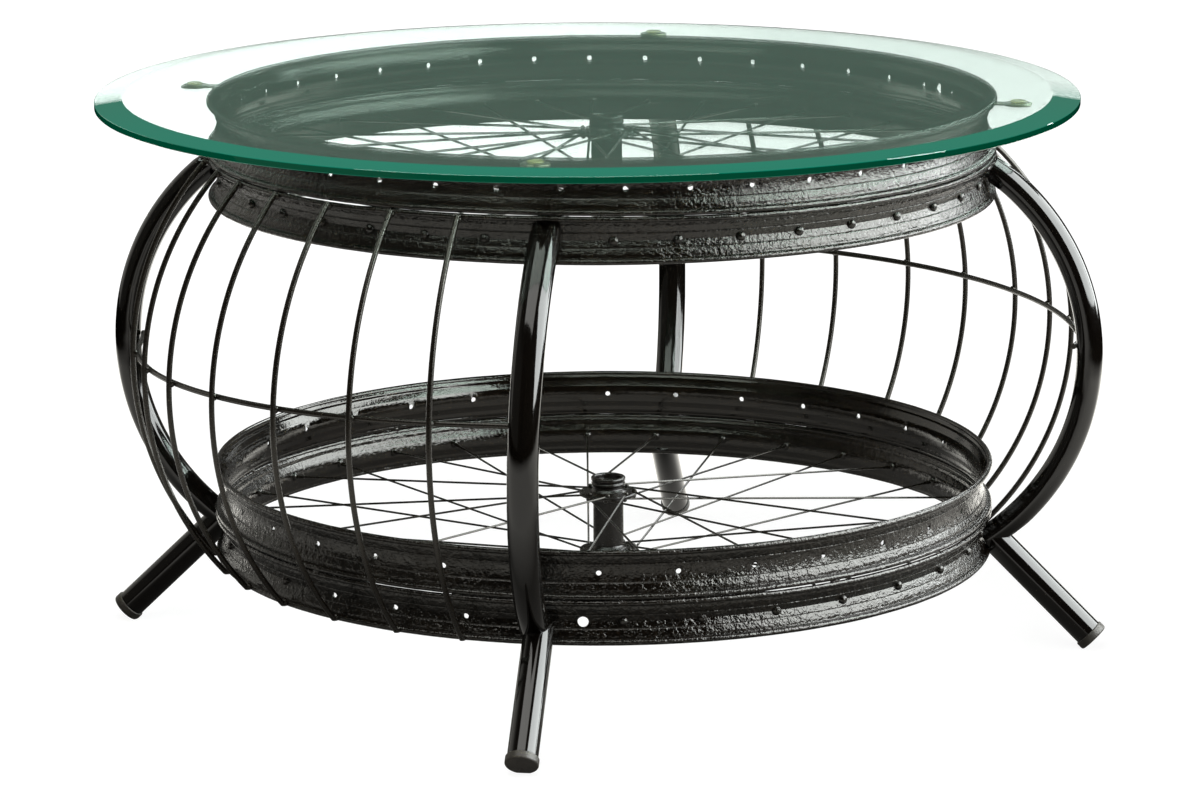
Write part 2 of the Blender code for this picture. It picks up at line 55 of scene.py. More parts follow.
INNER_STEPS = ((0.0056, 0.0050), (0.0058, 0.0073), (0.0079, 0.0117), (0.0082, 0.0122))
BED_DEPTH = 0.0084
INNER_DEPTH = 0.0097
CORNER_REACH = 0.0005
RIM_LUMP = 0.00010
RIM_LUMP_SCALE = 60.0
PAIR_GAP = 0.0016
PAIR_CLOSING = 0.00076
CLOSING_REACH = 0.0070
CLOSING_FADE = 0.0024
# Slits of light between two rims: first and last azimuth, and how far open
LOWER_SLITS = ((-27, -13, 0.3), (31, 100, 0.55))
UPPER_SLITS = ((-41.5, -26.5, 0.55), (-18, -2, 0.2), (3, 14, 0.2))
SLIT_FADE = 1.5
SLIT_RAGGEDNESS = 0.10
SLIT_RAG_SCALE = 90
FRONT_RISE = 0.0017
FRONT_RISE_SPREAD = 24
SPOKED_RISE_REACH = 0.012
EMPTY_RISE_REACH = 0.010
SPOKE_HOLE_RADIUS = 0.0021
VALVE_HOLE_RADIUS = 0.0043
HOLE_SIDES = 20
PIN_INWARD = 0.030
PIN_OUTWARD = 0.010
LOWER_SPOKES = 32
UPPER_SPOKES = 40
LOWER_EMPTY_PHASE = 7.05
LOWER_SPOKED_PHASE = -0.8
UPPER_EMPTY_PHASE = 0.75
UPPER_SPOKED_PHASE = 0.3
LOWER_BARE_HOLES = (27, 29, 30, 31)
LOWER_VALVE = LOWER_SPOKED_PHASE + 180 / LOWER_SPOKES
UPPER_VALVE = UPPER_EMPTY_PHASE + 360 * 13.5 / UPPER_SPOKES
FRONT_HOLE_SHIFT = 1.3
LOWER_TACKS = (-102, -37, -13, 42, 88, 133, 178, 223)
UPPER_TACKS = (-70, -23, 27, 75, 120, 165, 210, 255)
TACK_SIZE = (0.0040, 0.0092, 0.0062)
TACK_INSET = 0.0026
TACK_RISE = 0.0008

# Wheels: a cup's steps are its radii and their depths below the hub's end
HUB_STEPS = 64
HUB_BARREL_RADIUS = 0.0126
HUB_CORNER = 0.0005
HUB_LUMP = 0.00010
HUB_LUMP_SCALE = 320.0
CUP_STEPS = (
    (0.0080, 0.0045),
    (0.0108, 0.0045),
    (0.0108, 0.0006),
    (0.0116, 0.0),
    (0.0134, 0.0),
    (0.0143, 0.0009),
    (0.0143, 0.0030),
    (0.0134, 0.0036),
    (0.0134, 0.0046),
    (0.0141, 0.0052),
    (0.0141, 0.0066),
    (0.0128, 0.0076),
)
WHEEL_HALF_HEIGHT = 0.0175
FLANGE_RADIUS = 0.0240
FLANGE_FACE_RADIUS = 0.0234
FLANGE_ROOT_RADIUS = 0.0150
FLANGE_ROOT_HEIGHT = 0.0006
FLANGE_OUTER_FILLET = 0.0030
FLANGE_INNER_FILLET = 0.0035
FLANGE_THICKNESS = 0.0030
FLANGE_SPACING = 0.0485
FLANGE_HOLE_RADIUS = 0.0215
SPOKE_SIDES = 8
SPOKE_LEAD = 54.0
SPOKE_SIDE_STEP = 0.0014
SPOKE_HEAD_RADIUS = 0.0019
SPOKE_HEAD_STEP = 1.6
SPOKE_HOOK_SWELL = 1.15
SPOKE_ELBOW_SWELL = 1.2
SPOKE_OVERLAP = 0.0004
NIPPLE_LENGTH = 0.0100
NIPPLE_RADIUS = 0.0019
NIPPLE_TAPER = 0.72
NIPPLE_SIDES = 10
NIPPLE_SEAT = 0.0010
NIPPLE_HEAD_RADIUS = 0.0040
NIPPLE_HEAD_HEIGHT = 0.0034
LOWER_SPOKE_RADIUS = 0.0009
UPPER_SPOKE_RADIUS = 0.0011
HUB_SHIFT = (0.0038, 0.0005)
LOWER_HUB_TURN = -6.0
UPPER_HUB_TURN = 0.0

# Legs and feet
LEG_ACROSS = 0.0120
LEG_THROUGH = 0.0107
LEG_BULGE_RADIUS = 0.3995
LEG_BULGE_HEIGHT = 0.2429
LEG_HALF_HEIGHT = 0.1524
LEG_SINK = math.radians(1.5)
LEG_SIDES = 48
LEG_STEPS = 110
LEG_LUMP = 0.00005
LEG_LUMP_SCALE = 90.0
END_CUT = 0.0004
# Dents in the tube's ends: depth, width and length
TOP_DENT = (0.0050, 0.0030, 0.020)
BOTTOM_DENT = (0.0040, 0.0055, 0.038)
FOOT_SLOPE = math.radians(44)
FOOT_TOP_STEP = 0.0011
FOOT_RADIUS = 0.0119
CAP_RADIUS = 0.0131
CAP_HEAD = 0.0070
CAP_FLAT = 0.0017
CAP_GRIP = 0.6
CAP_LIP = 0.0004
CAP_RECESS = 0.0008
# Azimuth and lean of each leg, and azimuth of the support tab on its side
SIDES = {
    "front": (-0.8, 1.8, -0.6),
    "right": (91.2, 0.0, 86.9),
    "back": (178.7, 0.7, 180.0),
    "left": (270.7, 0.0, 269.1),
}
# How far each foot stands aside, and its swing in degrees
FOOT_SET = {"front": (0.0030, 0.0), "right": (0.0, -7.0), "back": (0.0, 0.0), "left": (0.0, 0.0)}

# Ribs and ties
ROD_RADIUS = 0.00225
ROD_SIDES = 16
RIB_STEPS = 56
TIE_POINTS = 72
TIE_FLARE = 6.0
RIB_WELD_SIZE = (0.0050, 0.0064, 0.0054)
RIB_WELD_OUT = 0.0002
RIB_WELD_DROP = 0.0026
RIB_WELD_RISE = 0.0030
TIE_WELD_SIZE = (0.0046, 0.0062, 0.0062)
TIE_WELD_SEED = 3
RIB_INSETS = {"front_left": 0.0135, "back_right": 0.0025}
RIB_AZIMUTHS = {
    "front_left": (285, 296, 305.5, 316, 327, 337.9, 348),
    "back_right": (106.5, 114.8, 124.2, 134.7, 144.8, 156, 166.5),
}
TIE_ENDS = {
    "front_left": (("left", 0.247), ("front", 0.264)),
    "back_right": (("right", 0.2510), ("back", 0.2595)),
}

# Glass and its supports
GLASS_STEPS = 256
GLASS_BEVEL_WIDTH = 0.0225
GLASS_BEVEL_DROP = 0.0027
GLASS_ARRIS = 0.0005
GLASS_SHARP_ANGLE = math.radians(3)
TAB_REACH = 0.0186
TAB_OVERLAP = 0.0035
TAB_RADIUS = 0.0115
TAB_NECK_WIDTH = 0.0090
TAB_NOTCH_WIDTH = 0.0090
TAB_NOTCH_DEPTH = 0.0060
TAB_POINTS = 40
TAB_EDGE = 0.0004
PAD_STEPS = 40
PAD_FOOT = 0.94

# Colours
RIM_BLACK = (0.0022, 0.0015, 0.0010)
RIM_BROWN = (0.0150, 0.0102, 0.0058)
TUBE_BLACK = (0.0031, 0.0023, 0.0018)
TUBE_BROWN = (0.0057, 0.0044, 0.0031)
ROD_BLACK = (0.0046, 0.0031, 0.0018)
ROD_BROWN = (0.0090, 0.0060, 0.0034)
HUB_BLACK = (0.0052, 0.0039, 0.0029)
HUB_BROWN = (0.0156, 0.0109, 0.0073)
STEEL_OLIVE = (0.17, 0.18, 0.13)
STEEL_GREY = (0.30, 0.31, 0.24)
PAD_OLIVE = (0.26, 0.26, 0.085)
PAD_YELLOW = (0.36, 0.35, 0.16)
CAP_BROWN = (0.026, 0.022, 0.018)
CAP_GREY = (0.044, 0.038, 0.031)
CAP_PALE_TOP = (0.19, 0.18, 0.085)
GLASS_TINT = (0.87, 0.99, 0.935)
GLASS_SHADOW = (0.86, 0.90, 0.88)
# Painted glow of the glass: a faint haze to the eye, and green and deep green where light is caught inside
GLASS_PAINTED_HAZE = (0.0, 0.014, 0.008)
GLASS_PAINTED_GLOW_GREEN = (0.006, 0.235, 0.155)
GLASS_PAINTED_GLOW_DEEP_GREEN = (0.000, 0.045, 0.021)
GLASS_IOR = 1.52

# Floor and lamps
FLOOR_RADIUS = 4.0
FLOOR_CENTRE = (0.0, 2.0)
FLOOR_LEVEL = -0.0002
FLOOR_PAINT = (0.82, 0.82, 0.81)
# Colour of the floor's painted reflection, and the centre of its painted shade
FLOOR_PAINTED_REFLECTION = (1.0, 0.98, 0.91)
FLOOR_WHITE = 0.80
FLOOR_GLOW = 1.15
SHADE_CENTRE = (-0.42, -0.02, 0.0)
ROOM_WHITE = (1.0, 0.98, 0.90)
WHITE = (1.0, 1.0, 1.0)
COOL_WHITE = (0.96, 1.0, 0.99)
RIGHT_BOX = {"place": (2.0, -0.38, 1.42), "target": (0.0, -0.38, 0.9), "width": 2.54, "height": 2.2}

# Camera, fitted to the picture's 1200 x 800 frame
IMAGE_WIDTH = 1200
CAMERA_AZIMUTH = math.radians(7.8)
CAMERA_DISTANCE = 3.7275
CAMERA_HEIGHT = 1.0415
CAMERA_PITCH = 0.2225
CAMERA_ROLL = -0.0049
CAMERA_LENS = 138.594
AXIS_OFFSET_PIXELS = 3.2
SENSOR_WIDTH = 36.0

# Shaping
TINY = 1e-6
SHARP_ANGLE = math.radians(38)
MOST_OF_EDGE = 0.4
BLOB_SCALE = 1.7

# Places that follow from the frame
LOW, HIGH = 0, 1
RIM_NAMES = ("lower_spoked_rim", "lower_empty_rim", "upper_spoked_rim", "upper_empty_rim")
RIM_BOXES = {name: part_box(name) for name in RIM_NAMES}
RIM_RADIUS = RIM_BOXES["lower_empty_rim"][HIGH][0]
LOWER_BASE = RIM_BOXES["lower_spoked_rim"][LOW][2]
UPPER_SPOKED_TOP = RIM_BOXES["upper_empty_rim"][LOW][2] - PAIR_GAP
LEG_BULGE = LEG_BULGE_RADIUS - RIM_RADIUS
LEG_ARC_RADIUS = (LEG_HALF_HEIGHT**2 + LEG_BULGE**2) / (2 * LEG_BULGE)
LEG_HALF_ANGLE = math.acos(1 - LEG_BULGE / LEG_ARC_RADIUS)


# Shaping helpers

def at_azimuth(radius, azimuth, height):
    angle = math.radians(azimuth)
    return Vector((radius * math.sin(angle), -radius * math.cos(angle), height))


def side_turn(azimuth):
    """Turns a shape drawn towards +X to an azimuth."""
    return Matrix.Rotation(math.radians(azimuth - 90), 4, "Z")


def arc(centre, radius, start, end, count):
    points = []
    for step in range(count + 1):
        angle = math.radians(start + (end - start) * step / count)
        points.append((centre[0] + radius * math.cos(angle), centre[1] + radius * math.sin(angle)))
    return points


def softened(corners, reach):
    """An outline whose corners are each drawn as a short curve."""
    points = []
    for before, corner, after in zip(corners[-1:] + corners, corners, corners[1:] + corners[:1]):
        here = Vector(corner)
        back = Vector(before) - here
        on = Vector(after) - here
        first = here + back * min(MOST_OF_EDGE, reach / back.length)
        last = here + on * min(MOST_OF_EDGE, reach / on.length)
        for share in (0.0, 0.5, 1.0):
            middle = first * (1 - share) ** 2 + here * 2 * share * (1 - share) + last * share**2
            points.append(tuple(middle))
    return points


def as_mesh(name, work):
    mesh = bpy.data.meshes.new(name)
    work.to_mesh(mesh)
    work.free()
    return mesh


def new_object(name, data):
    made = bpy.data.objects.new(name, data)
    bpy.context.scene.collection.objects.link(made)
    return made


def aimed(direction):
    """Turns a shape drawn along +Z to a direction."""
    return direction.to_track_quat("Z", "Y").to_matrix().to_4x4()


def turn_section(work, section, steps, closed=True):
    """Turns a section of radius and height about the upright axis."""
    outline = bmesh.new()
    knots = [outline.verts.new((radius, 0.0, height)) for radius, height in section]
    ends = knots[1:] + knots[:1] if closed else knots[1:]
    for pair in zip(knots, ends):
        outline.edges.new(pair)
    turned = new_object("section", as_mesh("section", outline))
    lathe = turned.modifiers.new("lathe", "SCREW")
    lathe.angle = math.tau
    lathe.steps = steps
    lathe.render_steps = steps
    lathe.use_merge_vertices = True
    lathe.merge_threshold = TINY
    graph = bpy.context.evaluated_depsgraph_get()
    work.from_mesh(bpy.data.meshes.new_from_object(turned.evaluated_get(graph)))
    bpy.data.objects.remove(turned)
    bmesh.ops.remove_doubles(work, verts=work.verts, dist=TINY)
    bmesh.ops.recalc_face_normals(work, faces=work.faces)


def add_rod(work, start, end, radius, sides, end_radius=None):
    """A round rod between two points."""
    along = end - start
    place = Matrix.Translation((start + end) / 2) @ aimed(along)
    bmesh.ops.create_cone(
        work,
        cap_ends=True,
        segments=sides,
        radius1=radius,
        radius2=radius if end_radius is None else end_radius,
        depth=along.length,
        matrix=place,
    )


def add_blob(work, place, size, seed, rough=0.25):
    """A bead of weld: a ball drawn to a size and made uneven."""
    ball = bmesh.ops.create_icosphere(work, subdivisions=3, radius=1.0)
    for knot in ball["verts"]:
        knot.co *= 1 + rough * noise.noise(knot.co * BLOB_SCALE + Vector((seed, 0.0, 0.0)))
        knot.co = Vector(knot.co[axis] * size[axis] / 2 for axis in range(3))
    bmesh.ops.transform(work, matrix=place, verts=ball["verts"])


def make_lumpy(work, height, scale):
    """Slow unevenness of hand-laid paint over old steel."""
    work.normal_update()
    moves = [(knot, knot.normal * height * noise.noise(knot.co * scale)) for knot in work.verts]
    for knot, move in moves:
        knot.co += move


def cut_flat(work, height, side):
    """Cuts off what lies above a height, or below it where side is -1, and closes every open end."""
    bmesh.ops.bisect_plane(
        work,
        geom=work.verts[:] + work.edges[:] + work.faces[:],
        plane_co=(0, 0, height),
        plane_no=(0, 0, side),
        clear_outer=True,
    )
    bmesh.ops.holes_fill(work, edges=[edge for edge in work.edges if edge.is_boundary], sides=0)


def finish_mesh(name, work, sharp=SHARP_ANGLE):
    mesh = as_mesh(name, work)
    mesh.shade_smooth()
    mesh.set_sharp_from_angle(angle=sharp)
    return mesh


def add_piece(name, work, material, nodes, body="frame", sharp=SHARP_ANGLE):
    piece = new_object(name, finish_mesh(name, work, sharp))
    piece.data.materials.append(material)
    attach(piece, body)
    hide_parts(*nodes)


# Node helpers

def link(tree, output, target):
    tree.links.new(output, target)


def feed(tree, socket, value):
    """Gives an input a colour, a number or what another node puts out."""
    if isinstance(value, tuple):
        socket.default_value = (*value, 1.0)
    elif isinstance(value, (int, float)):
        socket.default_value = value
    else:
        link(tree, value, socket)


def node(tree, kind, **values):
    """A node with its named settings or inputs filled in."""
    made = tree.nodes.new(kind)
    for key, value in values.items():
        if hasattr(made, key):
            setattr(made, key, value)
        else:
            feed(tree, made.inputs[key.replace("_", " ")], value)
    return made


def ramp(tree, source, low, high, dark=0.0, light=1.0):
    limits = {"From_Min": low, "From_Max": high, "To_Min": dark, "To_Max": light}
    return node(tree, "ShaderNodeMapRange", Value=source, **limits).outputs["Result"]


def math_node(tree, operation, first, second):
    made = node(tree, "ShaderNodeMath", operation=operation)
    for socket, value in zip(made.inputs, (first, second)):
        feed(tree, socket, value)
    return made.outputs[0]


def mix_colour(tree, share, first, second):
    made = node(tree, "ShaderNodeMix", data_type="RGBA")
    for socket, value in ((made.inputs[0], share), (made.inputs[6], first), (made.inputs[7], second)):
        feed(tree, socket, value)
    return made.outputs[2]


def mix_shaders(tree, share, first, second):
    made = tree.nodes.new("ShaderNodeMixShader")
    for socket, source in zip(made.inputs, (share, first, second)):
        link(tree, source, socket)
    return made.outputs[0]


def own_place(tree):
    """Where a point lies in the piece's own space."""
    return tree.nodes.new("ShaderNodeTexCoord").outputs["Object"]


def mottling(tree, scale, detail, roughness=0.5):
    looks = {"Scale": scale, "Detail": detail, "Roughness": roughness}
    return node(tree, "ShaderNodeTexNoise", Vector=own_place(tree), **looks).outputs["Fac"]


def add_relief(tree, shader, height, strength, distance):
    bump = node(tree, "ShaderNodeBump", Height=height, Strength=strength, Distance=distance)
    link(tree, bump.outputs["Normal"], shader.inputs["Normal"])


def new_group(name, inputs, outputs):
    group = bpy.data.node_groups.new(name, "ShaderNodeTree")
    for label, value in inputs.items():
        socket = group.interface.new_socket(label, in_out="INPUT", socket_type="NodeSocketFloat")
        socket.default_value = value
    for label, kind in outputs.items():
        group.interface.new_socket(label, in_out="OUTPUT", socket_type=kind)
    return group, group.nodes.new("NodeGroupInput"), group.nodes.new("NodeGroupOutput")


def enamel_group():
    """Brushed enamel over pitted steel: colour tint, gloss and height, all in object space."""
    group, given, out = new_group(
        "brushed_enamel",
        {"Lump Size": 90.0, "Pit Size": 250.0, "Pit Depth": 1.0, "Lump Depth": 1.0, "Smooth Inside": 0.0},
        {"Tint": "NodeSocketFloat", "Dullness": "NodeSocketFloat", "Height": "NodeSocketFloat"},
    )
    spot = group.nodes.new("ShaderNodeTexCoord")
    lumps = mottling(group, given.outputs["Lump Size"], 2.0)
    pits = mottling(group, given.outputs["Pit Size"], 2.5, 0.55)
    patches = mottling(group, 16.0, 4.0, 0.6)
    grain = mottling(group, math_node(group, "MULTIPLY", given.outputs["Pit Size"], 2.5), 2.0, 0.6)
    outward = node(group, "ShaderNodeVectorMath", operation="MULTIPLY")
    link(group, spot.outputs["Object"], outward.inputs[0])
    outward.inputs[1].default_value = (1.0, 1.0, 0.0)
    facing = node(group, "ShaderNodeVectorMath", operation="DOT_PRODUCT")
    link(group, outward.outputs["Vector"], facing.inputs[0])
    link(group, spot.outputs["Normal"], facing.inputs[1])
    inside = math_node(group, "LESS_THAN", facing.outputs["Value"], 0.0)
    smooth = math_node(group, "MULTIPLY", inside, given.outputs["Smooth Inside"])
    where = ramp(group, patches, 0.38, 0.62, 0.60, 1.0)
    depth = math_node(group, "MULTIPLY", where, given.outputs["Pit Depth"])
    hollows = ramp(group, pits, 0.43, 0.58)
    relief = math_node(group, "ADD", hollows, math_node(group, "MULTIPLY", grain, 1.7))
    pit = math_node(group, "MULTIPLY", relief, depth)
    lump = math_node(group, "MULTIPLY", lumps, given.outputs["Lump Depth"])
    height = math_node(group, "ADD", pit, lump)
    rough = math_node(group, "SUBTRACT", 1.0, smooth)
    link(group, math_node(group, "MULTIPLY", height, rough), out.inputs["Height"])
    stains = math_node(group, "MULTIPLY", ramp(group, patches, 0.42, 0.72), 0.35)
    specks = math_node(group, "MULTIPLY", ramp(group, grain, 0.50, 0.68), 0.65)
    link(group, math_node(group, "ADD", stains, specks), out.inputs["Tint"])
    link(group, ramp(group, grain, 0.3, 0.7), out.inputs["Dullness"])
    return group


def new_material(name, roughness=0.2, metallic=0.0):
    material = bpy.data.materials.new(name)
    material.use_nodes = True
    tree = material.node_tree
    shader = tree.nodes["Principled BSDF"]
    shader.inputs["Roughness"].default_value = roughness
    shader.inputs["Metallic"].default_value = metallic
    return material, tree, shader


def enamel(name, group, black, brown, gloss, relief, skin_values, sheen=(1.0, 1.0, 1.0)):
    """A black enamel: gloss is the roughness from shiny to dull, relief the paint's height in metres."""
    material, tree, shader = new_material(name)
    skin = node(tree, "ShaderNodeGroup", node_tree=group)
    for label, value in skin_values.items():
        skin.inputs[label].default_value = value
    link(tree, mix_colour(tree, skin.outputs["Tint"], black, brown), shader.inputs["Base Color"])
    link(tree, ramp(tree, skin.outputs["Dullness"], 0.0, 1.0, *gloss), shader.inputs["Roughness"])
    shader.inputs["Specular Tint"].default_value = (*sheen, 1.0)
    add_relief(tree, shader, skin.outputs["Height"], 1.0, relief)
    return material


def rim_enamel(name, group, fineness, smooth_inside):
    """Black enamel over rusted steel: a fineness above one makes the pits smaller and shallower."""
    skin_values = {
        "Lump Size": 110.0 * fineness,
        "Pit Size": 210.0 * fineness,
        "Pit Depth": 1.0,
        "Lump Depth": 1.2,
        "Smooth Inside": smooth_inside,
    }
    sheen = (1.0, 0.99, 0.95)
    return enamel(name, group, RIM_BLACK, RIM_BROWN, (0.03, 0.11), 0.00032 / fineness, skin_values, sheen)


def tab_steel_material():
    """Olive grey plated steel with fine scratches."""
    material, tree, shader = new_material("plated_tab_steel", metallic=1.0)
    stains = mottling(tree, 240.0, 5.0)
    tint = ramp(tree, stains, 0.35, 0.65)
    link(tree, mix_colour(tree, tint, STEEL_OLIVE, STEEL_GREY), shader.inputs["Base Color"])
    link(tree, ramp(tree, stains, 0.3, 0.7, 0.28, 0.5), shader.inputs["Roughness"])
    add_relief(tree, shader, stains, 0.4, 0.0002)
    return material


def pad_material():
    """Clear bumper gone yellow."""
    material, tree, shader = new_material("yellowed_bumper", roughness=0.25)
    tint = ramp(tree, mottling(tree, 300.0, 3.0), 0.35, 0.65)
    link(tree, mix_colour(tree, tint, PAD_OLIVE, PAD_YELLOW), shader.inputs["Base Color"])
    shader.inputs["Subsurface Weight"].default_value = 0.3
    shader.inputs["Subsurface Radius"].default_value = (0.003, 0.003, 0.001)
    return material


def cap_material():
    """Hard brown-grey plastic, paler and yellower in flecks towards the top."""
    material, tree, shader = new_material("foot_cap_plastic")
    mottle = mottling(tree, 120.0, 4.0)
    scuffs = mottling(tree, 700.0, 4.0, 0.7)
    split = node(tree, "ShaderNodeSeparateXYZ", Vector=own_place(tree))
    # Paler and yellower in flecks towards the top of the cap, by height
    upper = ramp(tree, split.outputs["Z"], 0.015, 0.022)
    pale_top_flecks = math_node(tree, "MULTIPLY", upper, ramp(tree, scuffs, 0.54, 0.66))
    plain = mix_colour(tree, ramp(tree, mottle, 0.3, 0.7), CAP_BROWN, CAP_GREY)
    link(tree, mix_colour(tree, pale_top_flecks, plain, CAP_PALE_TOP), shader.inputs["Base Color"])
    link(tree, ramp(tree, scuffs, 0.3, 0.7, 0.38, 0.6), shader.inputs["Roughness"])
    add_relief(tree, shader, scuffs, 0.5, 0.0002)
    return material


def glass_material():
    """Clear float glass. A painted green glow stands in for light caught inside the pane: it glows green,
    and deeper green along a longer way.
    """
    material, tree, shader = new_material("green_float_glass", roughness=0.0)
    shader.inputs["Base Color"].default_value = (*GLASS_TINT, 1.0)
    shader.inputs["Transmission Weight"].default_value = 1.0
    shader.inputs["IOR"].default_value = GLASS_IOR
    path = tree.nodes.new("ShaderNodeLightPath")
    inside = tree.nodes.new("ShaderNodeNewGeometry").outputs["Backfacing"]
    # The pane's underside, met from inside at the third bounce, glows green: a painted glow for light
    # caught inside
    caught = node(tree, "ShaderNodeMath", operation="COMPARE")
    link(tree, path.outputs["Ray Depth"], caught.inputs[0])
    caught.inputs[1].default_value = 3.0
    caught.inputs[2].default_value = 0.5
    far = ramp(tree, path.outputs["Ray Length"], 0.014, 0.050)
    green = mix_colour(tree, far, GLASS_PAINTED_GLOW_GREEN, GLASS_PAINTED_GLOW_DEEP_GREEN)
    # Elsewhere a faint green haze glows to the eye: a painted glow
    painted_haze = mix_colour(tree, path.outputs["Is Camera Ray"], (0.0, 0.0, 0.0), GLASS_PAINTED_HAZE)
    glow = mix_colour(tree, math_node(tree, "MULTIPLY", caught.outputs[0], inside), painted_haze, green)
    link(tree, glow, shader.inputs["Emission Color"])
    shader.inputs["Emission Strength"].default_value = 1.0
    clear = node(tree, "ShaderNodeBsdfTransparent", Color=GLASS_SHADOW)
    lamps_pass = mix_shaders(tree, path.outputs["Is Shadow Ray"], shader.outputs[0], clear.outputs[0])
    link(tree, lamps_pass, tree.nodes["Material Output"].inputs["Surface"])
    return material


# Rims

def rim_section(half):
    """The rolled section about its own middle height: bead, wall, slope, crease and bed, inside and out."""
    bead = (RIM_RADIUS - BEAD_RADIUS, half - BEAD_RADIUS)
    rolled = arc(bead, BEAD_RADIUS, 200, -100, 18)
    outer = [(RIM_RADIUS - depth, half - down) for depth, down in OUTER_STEPS]
    inner = [(RIM_RADIUS - depth, half - down) for depth, down in INNER_STEPS]
    outer_side = softened([rolled[-1], *outer, (RIM_RADIUS - BED_DEPTH, 0.0)], CORNER_REACH)[3:-3]
    inner_side = softened([rolled[0], *inner, (RIM_RADIUS - INNER_DEPTH, 0.0)], CORNER_REACH)[3:-3]
    upper = list(reversed(inner_side)) + rolled + outer_side
    lower = [(radius, -height) for radius, height in reversed(upper)]
    return upper + [(RIM_RADIUS - BED_DEPTH, 0.0)] + lower + [(RIM_RADIUS - INNER_DEPTH, 0.0)]


def azimuth_of(point):
    return math.degrees(math.atan2(point.x, -point.y))


def window(value, start, end, fade=SLIT_FADE):
    """1 between two azimuths, falling to 0 beyond them."""
    inside = min(value - start, end - value)
    return min(1.0, max(0.0, inside / fade + 0.5))


def front_rise(azimuth):
    """The upper wheels stand a little proud over the front leg."""
    return FRONT_RISE * math.exp(-((azimuth / FRONT_RISE_SPREAD) ** 2))


def close_pair(work, edge, direction, slits):
    """Brings a rim's bead against its neighbour's, save where a slit stays open."""
    for knot in work.verts:
        near = min(1.0, max(0.0, (CLOSING_REACH - abs(knot.co.z - edge)) / CLOSING_FADE))
        if near == 0.0:
            continue
        azimuth = azimuth_of(knot.co)
        slit = max(share * window(azimuth, start, end) for start, end, share in slits)
        ragged = SLIT_RAGGEDNESS * noise.noise(knot.co * SLIT_RAG_SCALE) if slit else 0.0
        knot.co.z += direction * PAIR_CLOSING * near * min(1.0, 1 - slit + ragged)


def hole_cutter(name, height, holes):
    """Round pins across the rim at the azimuths and radii of its holes."""
    work = bmesh.new()
    for azimuth, radius in holes:
        level = height + (front_rise(azimuth) if height > LEG_BULGE_HEIGHT else 0.0)
        inner = at_azimuth(RIM_RADIUS - PIN_INWARD, azimuth, level)
        outer = at_azimuth(RIM_RADIUS + PIN_OUTWARD, azimuth, level)
        add_rod(work, inner, outer, radius, HOLE_SIDES)
    return new_object(name, as_mesh(name, work))


def drill(mesh, cutter):
    """The mesh with the cutter's pins taken out of it."""
    blank = new_object("rim_blank", mesh)
    cut = blank.modifiers.new("holes", "BOOLEAN")
    cut.object = cutter
    cut.solver = "MANIFOLD"
    graph = bpy.context.evaluated_depsgraph_get()
    drilled = bpy.data.meshes.new_from_object(blank.evaluated_get(graph))
    for helper in (blank, cutter):
        bpy.data.objects.remove(helper)
    return drilled


def nipple_heads(work, height, azimuths):
    """Round heads of the spoke nipples on the bed of the rim."""
    shape = bmesh.new()
    bmesh.ops.create_uvsphere(shape, u_segments=18, v_segments=12, radius=1.0)
    dome = as_mesh("nipple_head", shape)
    size = Matrix.Diagonal((NIPPLE_HEAD_HEIGHT, NIPPLE_HEAD_RADIUS, NIPPLE_HEAD_RADIUS, 1.0))
    for azimuth in azimuths:
        place = side_turn(azimuth) @ Matrix.Translation((RIM_RADIUS - BED_DEPTH, 0.0, height)) @ size
        head = dome.copy()
        head.transform(place)
        work.from_mesh(head)
        bpy.data.meshes.remove(head)


def add_rim(node_name, material, holes, tacks=(), heads=()):
    """A rolled rim. The spoked one of a pair is as tall as the room below the empty one, less the gap."""
    spoked = "spoked" in node_name
    upper = "upper" in node_name
    low, high = RIM_BOXES[node_name]
    bottom, top = low[2], high[2]
    if spoked:
        top = RIM_BOXES[node_name.replace("spoked", "empty")][LOW][2] - PAIR_GAP
    middle = (bottom + top) / 2
    work = bmesh.new()
    section = [(radius, middle + height) for radius, height in rim_section((top - bottom) / 2)]
    turn_section(work, section, RIM_STEPS)
    make_lumpy(work, RIM_LUMP, RIM_LUMP_SCALE)
    slits = UPPER_SLITS if upper else LOWER_SLITS
    close_pair(work, top if spoked else bottom, 1 if spoked else -1, slits)
    if upper:
        for knot in work.verts:
            share = (top - knot.co.z) / EMPTY_RISE_REACH
            if spoked:
                share = (knot.co.z - middle) / SPOKED_RISE_REACH
            knot.co.z += front_rise(azimuth_of(knot.co)) * min(1.0, max(0.0, share))
    mesh = finish_mesh(node_name + "_rolled", work)
    if holes:
        mesh = drill(mesh, hole_cutter(node_name + "_holes", middle, holes))
    work = bmesh.new()
    work.from_mesh(mesh)
    for number, azimuth in enumerate(tacks):
        place = side_turn(azimuth) @ Matrix.Translation((RIM_RADIUS - TACK_INSET, 0.0, top + TACK_RISE))
        add_blob(work, place, TACK_SIZE, number)
    nipple_heads(work, middle, heads)
    add_piece(node_name + "_painted", work, material, [node_name])


def spoke_azimuths(count, phase):
    return [phase + 360 * number / count for number in range(count)]


